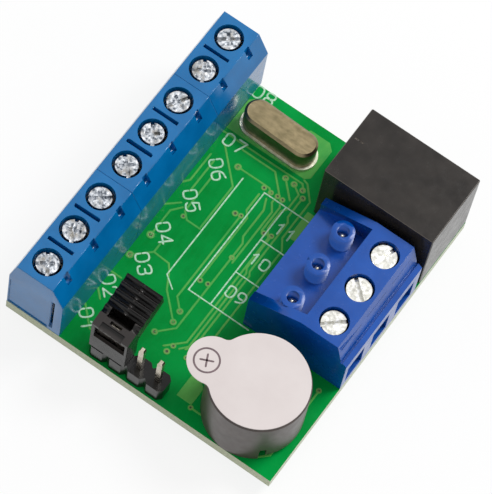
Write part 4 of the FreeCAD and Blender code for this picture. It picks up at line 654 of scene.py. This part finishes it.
# Wide copper: the island round the crystal and strips beside the blocks
POURS = [
    [(7.4, 33.35), (18.5, 33.35), (19.1, 33.9), (19.1, 38.3), (18.3, 39.1), (15.6, 39.1),
     (15.0, 38.5), (8.0, 38.5), (7.4, 37.9)],
    [(21.2, 26.1), (22.6, 26.1), (22.6, 30.2), (21.2, 30.2)],
    [(22.2, 2.2), (24.3, 2.2), (24.3, 4.6), (23.3, 5.6), (22.2, 5.6)],
]

# Vias and masked pads: x, y, outer radius
VIAS = [
    (16.7, 32.15, 0.42), (17.95, 32.1, 0.42), (19.2, 32.05, 0.4), (19.78, 31.2, 0.4),
    (11.45, 29.95, 0.45), (16.6, 10.85, 0.42), (16.75, 9.3, 0.42), (15.4, 29.6, 0.36),
    (16.4, 29.55, 0.36), (17.3, 29.65, 0.36), (18.0, 29.6, 0.36), (14.6, 24.85, 0.4),
    (15.3, 25.0, 0.36), (18.7, 24.8, 0.38), (19.6, 25.0, 0.36), (17.5, 20.0, 0.36),
    (16.2, 15.45, 0.38), (17.2, 15.6, 0.36), (8.35, 16.7, 0.5), (7.9, 13.2, 0.48),
    (6.9, 13.4, 0.4), (18.45, 6.9, 0.36), (18.25, 5.9, 0.4), (15.75, 7.05, 0.42),
    (10.0, 20.9, 0.34), (21.64, 10.3, 0.36), (20.5, 6.6, 0.34), (34.9, 12.4, 0.36),
    (24.8, 10.8, 0.36), (24.4, 1.9, 0.34),
]

# Tracks on the other side, from lead to lead
LOWER_TRACKS = [
    [(3.3, 2.54), (6.4, 2.54), (8.4, 4.6), (8.4, 12.4), (10.2, 14.2), (10.7, 14.55)],
    [(3.3, 7.62), (6.9, 7.62), (7.6, 8.3), (7.6, 14.6), (9.0, 16.0), (9.0, 18.3), (9.65, 18.95)],
    [(3.3, 12.7), (5.2, 12.7), (8.2, 15.9), (8.2, 20.0), (9.05, 20.85), (9.6, 20.85)],
    [(3.3, 17.78), (5.6, 17.78), (7.4, 19.6), (7.4, 21.4), (8.75, 22.75), (9.6, 22.75)],
    [(3.3, 22.86), (6.4, 22.86), (9.7, 26.2)],
    [(3.3, 27.94), (8.6, 27.94), (9.4, 29.2), (12.05, 29.2), (12.05, 28.5)],
    [(3.3, 33.02), (7.4, 33.02), (9.2, 31.3), (12.6, 31.3), (13.6, 32.35)],
    [(3.3, 38.1), (8.4, 38.1), (10.8, 35.8)],
    [(11.7, 18.95), (13.6, 18.95), (15.1, 17.96), (16.2, 17.96)],
    [(11.7, 20.85), (13.2, 20.85), (14.8, 19.23), (16.2, 19.23)],
    [(11.7, 22.75), (12.9, 22.75), (15.1, 20.5), (16.2, 20.5)],
    [(16.2, 21.77), (14.9, 21.77), (13.55, 23.1), (13.55, 25.2)],
    [(16.2, 23.04), (15.3, 23.04), (14.7, 23.7), (14.7, 26.6), (15.1, 27.55)],
    [(16.2, 24.31), (15.7, 24.9), (15.7, 26.0), (17.1, 27.4), (17.1, 27.6)],
    [(21.8, 16.69), (23.2, 16.69), (23.9, 17.35), (24.4, 17.35)],
    [(21.8, 17.96), (23.0, 17.96), (24.1, 19.25), (24.4, 19.25)],
    [(21.8, 19.23), (22.7, 19.23), (24.2, 21.0), (24.4, 21.15)],
    [(21.8, 20.5), (22.3, 20.5), (24.2, 22.9), (24.4, 23.05)],
    [(21.8, 21.77), (22.2, 21.77), (23.05, 23.2), (23.05, 25.6)],
    [(21.8, 24.31), (21.8, 26.8), (21.75, 28.15)],
    [(16.2, 16.69), (15.0, 15.5), (15.0, 13.3), (15.5, 12.55)],
    [(17.4, 12.55), (18.7, 12.55)],
    [(20.6, 12.55), (22.2, 12.55), (23.2, 11.6)],
    [(24.2, 13.6), (24.2, 15.0), (26.4, 15.0), (27.35, 16.47)],
    [(27.35, 21.55), (27.35, 24.0), (29.8, 26.5), (29.8, 33.6), (31.6, 35.35), (34.65, 35.35)],
    [(27.35, 26.63), (27.35, 30.6), (23.6, 34.4), (22.7, 35.35)],
    [(24.0, 27.8), (24.0, 30.2), (22.0, 32.0), (21.9, 32.95)],
    [(19.2, 32.95), (18.3, 34.2), (18.3, 37.4), (19.7, 38.9), (21.6, 38.9), (22.7, 38.65)],
    [(12.3, 1.52), (12.3, 4.4), (11.6, 5.2), (11.6, 9.4)],
    [(14.84, 1.52), (14.84, 7.6), (13.5, 9.0), (13.5, 9.4)],
    [(17.38, 1.52), (17.38, 11.2), (16.4, 11.9), (16.4, 14.2)],
    [(19.92, 1.52), (19.92, 9.2), (22.6, 9.2), (30.15, 9.75)],
    [(12.55, 11.7), (12.55, 12.4), (13.4, 14.55)],
    [(25.15, 11.5), (25.15, 5.0), (27.6, 2.15), (30.15, 2.15)],
    [(15.69, 35.6), (15.69, 33.4), (15.65, 32.35)],
    [(16.6, 30.15), (15.2, 30.15), (13.65, 31.2), (13.65, 32.2)],
]

# Under the board: outlines printed round the parts, as middle, length and width
LOWER_FRAMES = [
    ((19.0, 20.5), 4.4, 9.4), ((12.05, 26.95), 5.1, 3.0), ((12.55, 10.55), 3.4, 1.9),
    ((24.0, 26.75), 3.4, 1.9), ((24.2, 12.55), 3.4, 1.9), ((20.55, 32.95), 4.6, 2.2),
    ((12.05, 14.55), 4.6, 2.2),
]

# Middles of the chip resistors and capacitors
LOWER_PASSIVES = [
    (10.65, 18.95), (10.65, 20.85), (10.65, 22.75), (16.45, 12.55), (19.65, 12.55), (25.4, 17.35),
    (25.4, 19.25), (25.4, 21.15), (25.4, 23.05), (16.05, 27.55), (17.65, 30.15), (20.75, 28.15),
    (14.65, 32.35),
]


def islands(node):
    """The separate parts of a node's mesh, each as the low and high corners of its box."""
    work = welded(node)
    left = set(work.verts)
    boxes = []
    while left:
        reached = {left.pop()}
        front = list(reached)
        while front:
            vert = front.pop()
            for edge in vert.link_edges:
                other = edge.other_vert(vert)
                if other in left:
                    left.discard(other)
                    reached.add(other)
                    front.append(other)
        points = [measure(vert.co) for vert in reached]
        boxes.append((tuple(map(min, zip(*points))), tuple(map(max, zip(*points)))))
    work.free()
    return sorted(boxes)


def top_of(node):
    """Height of a CAD node's highest point."""
    return measure(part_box(node)[1])[2]


def rounded(line):
    """A line whose corners are cut twice, each time a quarter of the way along its runs."""
    for _ in range(2):
        cut = [line[0]]
        for (x0, y0), (x1, y1) in zip(line, line[1:]):
            cut += [(0.75 * x0 + 0.25 * x1, 0.75 * y0 + 0.25 * y1),
                    (0.25 * x0 + 0.75 * x1, 0.25 * y0 + 0.75 * y1)]
        line = cut + [line[-1]]
    return line


def write(form, text, middle, angle, height):
    """Write digits as raised strokes, centred on a point."""
    scale = height / DIGIT_HEIGHT
    step = DIGIT_STEP * scale
    turn = math.radians(angle)
    start = -(step * (len(text) - 1) + scale) / 2
    for number, digit in enumerate(text):
        for stroke, line in enumerate(DIGITS[digit]):
            points = []
            for x, y in rounded(line):
                along = start + number * step + x * scale
                across = (y - DIGIT_HEIGHT / 2) * scale
                points.append((middle[0] + along * math.cos(turn) - across * math.sin(turn),
                               middle[1] + along * math.sin(turn) + across * math.cos(turn)))
            top = INK_HEIGHT + CROSSING_STEP * stroke
            form.strip(points, NUMBER_WIDTH, -SUNK, top, INK_SLANT)


def make_upper_print(finish):
    """Tracks, wide copper, vias, outlines and numbers on the component side."""
    tracks = Form()
    for index, line in enumerate(TRACKS):
        top = COPPER_HEIGHT + CROSSING_STEP * (index % CROSSING_LEVELS)
        tracks.strip(line, TRACK_WIDTH, -SUNK, top, COPPER_SLANT)
    for outline in POURS:
        tracks.plate(outline, -SUNK, POUR_HEIGHT, COPPER_SLANT)
    tracks.build("upper_tracks", finish["copper"])
    rings = Form()
    tinned = Form()
    plugs = Form()
    for x, y, radius in VIAS:
        hole = radius * VIA_HOLE
        rings.ring(x, y, hole, radius, -SUNK, COPPER_HEIGHT + VIA_RISE, VIA_SIDES)
        tinned.ring(x, y, hole, radius * VIA_TIN, 0.0, COPPER_HEIGHT + VIA_TIN_RISE, VIA_SIDES)
        plugs.lathe(x, y, [(hole, -SUNK), (hole, PLUG_RIM), (radius * VIA_DIMPLE, PLUG_MIDDLE)],
                    PLUG_SIDES)
    rings.build("upper_vias", finish["copper"])
    tinned.build("upper_via_tin", finish["via_tin"])
    plugs.build("upper_via_plugs", finish["plug"])
    lines = Form()
    for index, line in enumerate(INK_LINES):
        top = INK_HEIGHT + CROSSING_STEP * index
        lines.strip(line, INK_WIDTH, -SUNK, top, INK_SLANT)
    lines.build("printed_outlines", finish["ink"])
    numbers = Form()
    for text, middle, angle in SIGNAL_NUMBERS:
        write(numbers, text, middle, angle, SIGNAL_NUMBER_HEIGHT)
    for text, middle, angle in RELAY_NUMBERS:
        write(numbers, text, middle, angle, RELAY_NUMBER_HEIGHT)
    numbers.build("printed_numbers", finish["ink"])


def make_lower_print(finish):
    """Tracks, pads and outlines under the board."""
    copper_face = UNDERSIDE - COPPER_HEIGHT
    inside = UNDERSIDE + SUNK
    tracks = Form()
    for line in LOWER_TRACKS:
        tracks.strip(line, LOWER_TRACK_WIDTH, copper_face, inside)
    for x, y, radius in VIAS:
        hole = radius * VIA_HOLE
        tracks.ring(x, y, hole, radius, copper_face - VIA_RISE, inside, VIA_SIDES)
    tracks.build("lower_tracks", finish["copper"])
    pads = Form()
    for low, high in islands("component_leads"):
        foot = rectangle((low[0] - LEAD_MARGIN, low[1] - LEAD_MARGIN),
                         (high[0] + LEAD_MARGIN, high[1] + LEAD_MARGIN))
        pads.plate(foot, copper_face, inside)
    for x, y in LOWER_PASSIVES:
        for reach in (-PASSIVE_REACH, PASSIVE_REACH):
            foot = centred(x + reach, y, PASSIVE_PAD_LENGTH, PASSIVE_PAD_WIDTH)
            pads.plate(foot, copper_face, inside)
    pads.build("lower_pads", finish["tin"])
    lines = Form()
    for (x, y), length, width in LOWER_FRAMES:
        corners = centred(x, y, length, width)
        for first, second in zip(corners, corners[1:] + corners[:1]):
            lines.strip([first, second], INK_WIDTH, UNDERSIDE - INK_HEIGHT, inside)
    lines.build("lower_outlines", finish["ink"])


# Details that sit on the CAD pieces


def make_passive_ends(finish):
    """Tinned end caps on the chip resistors and capacitors."""
    ends = Form()
    for low, high in islands("chip_passives"):
        for start, end in ((low[0] - CAP_RISE, low[0] + CAP_LENGTH),
                           (high[0] - CAP_LENGTH, high[0] + CAP_RISE)):
            outline = rectangle((start, low[1] - CAP_RISE), (end, high[1] + CAP_RISE))
            ends.plate(outline, low[2] - CAP_RISE, UNDERSIDE + CAP_SUNK)
    ends.build("passive_ends", finish["tin"])


def make_solder_fillets(finish):
    """Concave solder cones in place of the plain ones."""
    fillets = Form()
    for low, high in islands("solder_joints"):
        x = (low[0] + high[0]) / 2
        y = (low[1] + high[1]) / 2
        foot = (high[0] - low[0]) / 2 * SOLDER_SPREAD
        profile = [(radius, low[2] + rise) for radius, rise in SOLDER_CURVE]
        profile += [(foot, high[2] - SOLDER_FOOT), (foot, high[2])]
        fillets.lathe(x, y, profile, SOLDER_SIDES)
    piece = fillets.build("solder_fillets", finish["solder"], smooth=SHARP_ANGLE)
    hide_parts("solder_joints")


def make_post_tips(finish):
    """The shiny rounded ends of the contact posts in the test holes."""
    tips = Form()
    top = top_of("relay_terminal_contacts")
    profile = [(TIP_RADIUS, top - OVERLAP), (TIP_RADIUS, top + TIP_RISE)]
    for angle in TIP_ANGLES:
        profile.append((TIP_RADIUS * math.cos(math.radians(angle)),
                        top + TIP_RISE + TIP_DOME * math.sin(math.radians(angle))))
    for x, y in TEST_HOLES:
        tips.lathe(x, y, profile, TIP_SIDES)
    tips.build("contact_tips", finish["tin"], smooth=TIP_SHARP_ANGLE)


def make_contact_lug(finish):
    """The bright fold of the jumper's contact, which shows in the slit over it."""
    low, high = (measure(corner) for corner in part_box("jumper_contact"))
    outline = centred((low[0] + high[0]) / 2, (low[1] + high[1]) / 2, LUG_LENGTH, LUG_WIDTH)
    lug = Form()
    lug.plate(outline, high[2] - OVERLAP, LUG_TOP, LUG_SLANT)
    lug.build("jumper_contact_lug", finish["tin"], "jumper")


def make_seal_mark(finish):
    """The printed plus sign in a circle on the seal's pull tab."""
    top = top_of("buzzer_seal")
    x, y = MARK_PLACE
    mark = Form()
    mark.ring(x, y, MARK_INNER, MARK_OUTER, top - SUNK, top + MARK_HEIGHT, MARK_SIDES)
    for angle in MARK_ANGLES:
        dx = MARK_REACH * math.cos(math.radians(angle))
        dy = MARK_REACH * math.sin(math.radians(angle))
        mark.strip([(x - dx, y - dy), (x + dx, y + dy)], MARK_WIDTH, top - SUNK,
                   top + MARK_HEIGHT)
    mark.build("seal_mark", finish["mark"])


# Materials


def paint(material, *names):
    """Give carried-over nodes a material."""
    for name in names:
        slots = NODES[name].data.materials
        slots.clear()
        slots.append(material)


def set_materials():
    """Materials of every carried-over node; returns the ones that new pieces share."""
    finish = {
        "tin": metal("tinned_metal", tint(176, 168, 150), tint(214, 206, 190), roughness=0.24),
        "solder": metal("solder", tint(190, 190, 186), tint(226, 226, 222), roughness=0.16,
                        depth=0.02),
        "copper": mask_shader("masked_copper", tint(62, 166, 78), tint(112, 192, 92),
                              specular=0.1).material,
        "ink": ink_material(),
        "plug": moulded("via_plug", tint(16, 60, 28), tint(60, 84, 40), roughness=0.4),
        "mark": moulded("seal_ink", tint(96, 80, 84), tint(128, 108, 112), roughness=0.6,
                        grain=0.2),
        "via_tin": mask_shader("via_tin", tint(104, 148, 76), tint(150, 176, 100),
                               specular=0.3).material,
    }
    signal_blue = moulded("signal_blue", tint(0, 104, 166), tint(4, 116, 182), roughness=0.15,
                          depth=0.002)
    relay_blue = moulded("relay_block_blue", tint(0, 72, 160), tint(4, 82, 176), roughness=0.24,
                         depth=0.0015, specular=0.45)
    # The relay cover's rounded top rims get a lighter painted highlight.
    relay_black = moulded("relay_black", tint(38, 35, 33), tint(54, 50, 47), roughness=0.24,
                          depth=0.006, specular=0.25, rim_highlight=tint(118, 110, 102))
    base_black = moulded("base_black", tint(32, 32, 32), tint(48, 48, 48), roughness=0.5)
    copper_wire = metal("copper_wire", tint(176, 110, 74), tint(214, 148, 104), roughness=0.3,
                        grain=0.3, depth=0.03, stretch=(0.3, 0.3, 8))
    iron = metal("soft_iron", tint(160, 160, 160), tint(190, 190, 188), roughness=0.4)
    bronze = metal("contact_bronze", tint(196, 160, 102), tint(220, 188, 132), roughness=0.32)
    buzzer_grey = moulded("buzzer_plastic", tint(66, 57, 53), tint(80, 70, 66), roughness=0.36)
    paper = moulded("seal_paper", tint(224, 214, 212), tint(231, 222, 220), roughness=0.5,
                    grain=0.8, depth=0.002, specular=0.2)
    ferrite = moulded("ferrite", tint(38, 38, 40), tint(62, 62, 62), roughness=0.7)
    quartz = moulded("quartz", tint(224, 224, 220), tint(238, 238, 234), roughness=0.15)
    # The header's rounded top rims get a lighter painted highlight.
    header_black = moulded("header_black", tint(12, 12, 13), tint(24, 23, 23), roughness=0.22,
                           specular=0.3, rim_highlight=tint(46, 44, 42))
    # The jumper cap's up-facing faces, its rib crests and top, get a lighter painted highlight.
    jumper_black = moulded("jumper_black", tint(10, 9, 9), tint(22, 20, 20), roughness=0.26,
                           specular=0.3, top_highlight=tint(52, 48, 47))
    chip_black = moulded("chip_black", tint(28, 28, 28), tint(42, 42, 42), roughness=0.5)
    ceramic = moulded("chip_ceramic", tint(96, 78, 58), tint(124, 102, 78), roughness=0.5)
    signal_plating = screw_material("signal_screw_plating", tint(96, 102, 110),
                                    tint(190, 195, 202), stain=0.8, marks=0.06)
    relay_plating = screw_material("relay_screw_plating", tint(196, 195, 188),
                                   tint(218, 217, 210), stain=0.15, marks=0.008)
    jumper_tin = metal("jumper_tin", tint(120, 114, 108), tint(170, 162, 152), roughness=0.36)
    flange = metal("crystal_flange", tint(196, 198, 178), tint(232, 232, 214), roughness=0.5)

    paint(board_material(), "board")
    paint(signal_blue, "signal_housing_front", "signal_housing_middle", "signal_housing_rear")
    paint(relay_blue, "relay_terminal_housing")
    paint(finish["tin"], "signal_contacts", "relay_terminal_contacts", "relay_pins",
          "buzzer_pins", "crystal_leads", "header_pins", "component_leads",
          *RELAY_CAGES, *SIGNAL_LEAVES)
    paint(signal_plating, *SIGNAL_SCREWS)
    paint(relay_plating, *RELAY_SCREWS)
    paint(relay_black, "relay_cover")
    paint(base_black, "relay_base", "relay_bobbin", "buzzer_base")
    paint(copper_wire, "relay_winding", "buzzer_coil")
    paint(iron, "relay_core", "relay_yoke", "relay_armature", "buzzer_yoke", "buzzer_diaphragm")
    paint(bronze, "relay_contact_spring", "relay_fixed_contacts")
    paint(jumper_tin, "jumper_contact")
    paint(buzzer_grey, "buzzer_case")
    paint(paper, "buzzer_seal")
    paint(ferrite, "buzzer_magnet")
    paint(crystal_material(), "crystal_can")
    paint(flange, "crystal_base")
    paint(quartz, "crystal_blank")
    paint(header_black, "header_body")
    paint(jumper_black, "jumper_cap")
    paint(chip_black, "controller_chip", "small_packages")
    paint(ceramic, "chip_passives")
    paint(finish["solder"], "solder_joints")
    return finish


# Camera, lights and floor


def set_camera():
    """The photograph's camera, worked out from the known spacings of the terminals and pins."""
    data = bpy.data.cameras.new("photo_camera")
    data.lens = CAMERA_LENS
    data.sensor_width = CAMERA_SENSOR
    data.clip_start = CAMERA_NEAR
    camera = bpy.data.objects.new("photo_camera", data)
    camera.location = CAMERA_PLACE
    camera.rotation_euler = [math.radians(angle) for angle in CAMERA_TURN]
    bpy.context.scene.collection.objects.link(camera)
    bpy.context.scene.camera = camera


def seen_rays(nodes, links):
    """1 for what the camera sees straight or in gloss and glass, 0 for the light itself."""
    rays = nodes.new("ShaderNodeLightPath")
    share = rays.outputs["Is Camera Ray"]
    for name in ("Is Glossy Ray", "Is Transmission Ray"):
        joined = nodes.new("ShaderNodeMath")
        joined.operation = "MAXIMUM"
        links.new(share, joined.inputs[0])
        links.new(rays.outputs[name], joined.inputs[1])
        share = joined.outputs["Value"]
    return share


def set_lights():
    """Even light from all round, with one large lamp above the far right corner."""
    world = bpy.data.worlds.new("studio")
    bpy.context.scene.world = world
    world.use_nodes = True
    nodes = world.node_tree.nodes
    links = world.node_tree.links
    strength = nodes.new("ShaderNodeMapRange")
    strength.inputs["To Min"].default_value = WORLD_LIGHT
    strength.inputs["To Max"].default_value = WORLD_SEEN
    links.new(seen_rays(nodes, links), strength.inputs["Value"])
    nodes["Background"].inputs["Color"].default_value = (*WHITE, 1)
    links.new(strength.outputs["Result"], nodes["Background"].inputs["Strength"])

    lamp = bpy.data.lights.new("key", "AREA")
    lamp.shape = "DISK"
    lamp.size = LAMP_SIZE
    lamp.energy = LAMP_POWER
    key = bpy.data.objects.new("key", lamp)
    key.location = LAMP_PLACE
    key.rotation_euler = Vector(LAMP_PLACE).to_track_quat("Z", "Y").to_euler()
    bpy.context.scene.collection.objects.link(key)


def make_floor():
    """A plain pale floor under the solder tails.

    The camera and gloss see it nearly white, with its shadow.
    """
    outline = centred(0, 0, FLOOR_SIZE, FLOOR_SIZE)
    mesh = bpy.data.meshes.new("floor")
    mesh.from_pydata([(x, y, 0) for x, y in outline], [], [(0, 1, 2, 3)])
    floor = bpy.data.objects.new("floor", mesh)
    bpy.context.scene.collection.objects.link(floor)
    shader = Shader("floor", FLOOR_ROUGHNESS)
    shader.specular(level=0.0)
    seen = seen_rays(shader.nodes, shader.links)
    shader.colour(shader.mix(seen, FLOOR_TONE, WHITE))
    glow = shader.nodes.new("ShaderNodeEmission")
    blend = shader.nodes.new("ShaderNodeMixShader")
    share = shader.range(seen, low=0.0, high=1.0, out_high=FLOOR_GLOW)
    shader.links.new(share, blend.inputs["Fac"])
    shader.links.new(shader.surface.outputs["BSDF"], blend.inputs[1])
    shader.links.new(glow.outputs["Emission"], blend.inputs[2])
    output = shader.nodes["Material Output"]
    shader.links.new(blend.outputs["Shader"], output.inputs["Surface"])
    mesh.materials.append(shader.material)


finish = set_materials()
make_upper_print(finish)
make_lower_print(finish)
make_passive_ends(finish)
make_solder_fillets(finish)
make_post_tips(finish)
make_contact_lug(finish)
make_seal_mark(finish)
soften("signal_housing_middle", width=0.12)
soften("signal_housing_rear", width=0.12)
soften("signal_housing_front", width=0.12, cuts=[END_GROOVE])
soften("relay_terminal_housing", width=0.07)
soften("relay_cover", width=0.1)
soften("header_body", width=0.08)
soften("jumper_cap", width=0.06, body="jumper", cuts=[JUMPER_WINDOW, JUMPER_FRONT])
set_camera()
set_lights()
make_floor()
bpy.context.scene.view_settings.view_transform = "Standard"
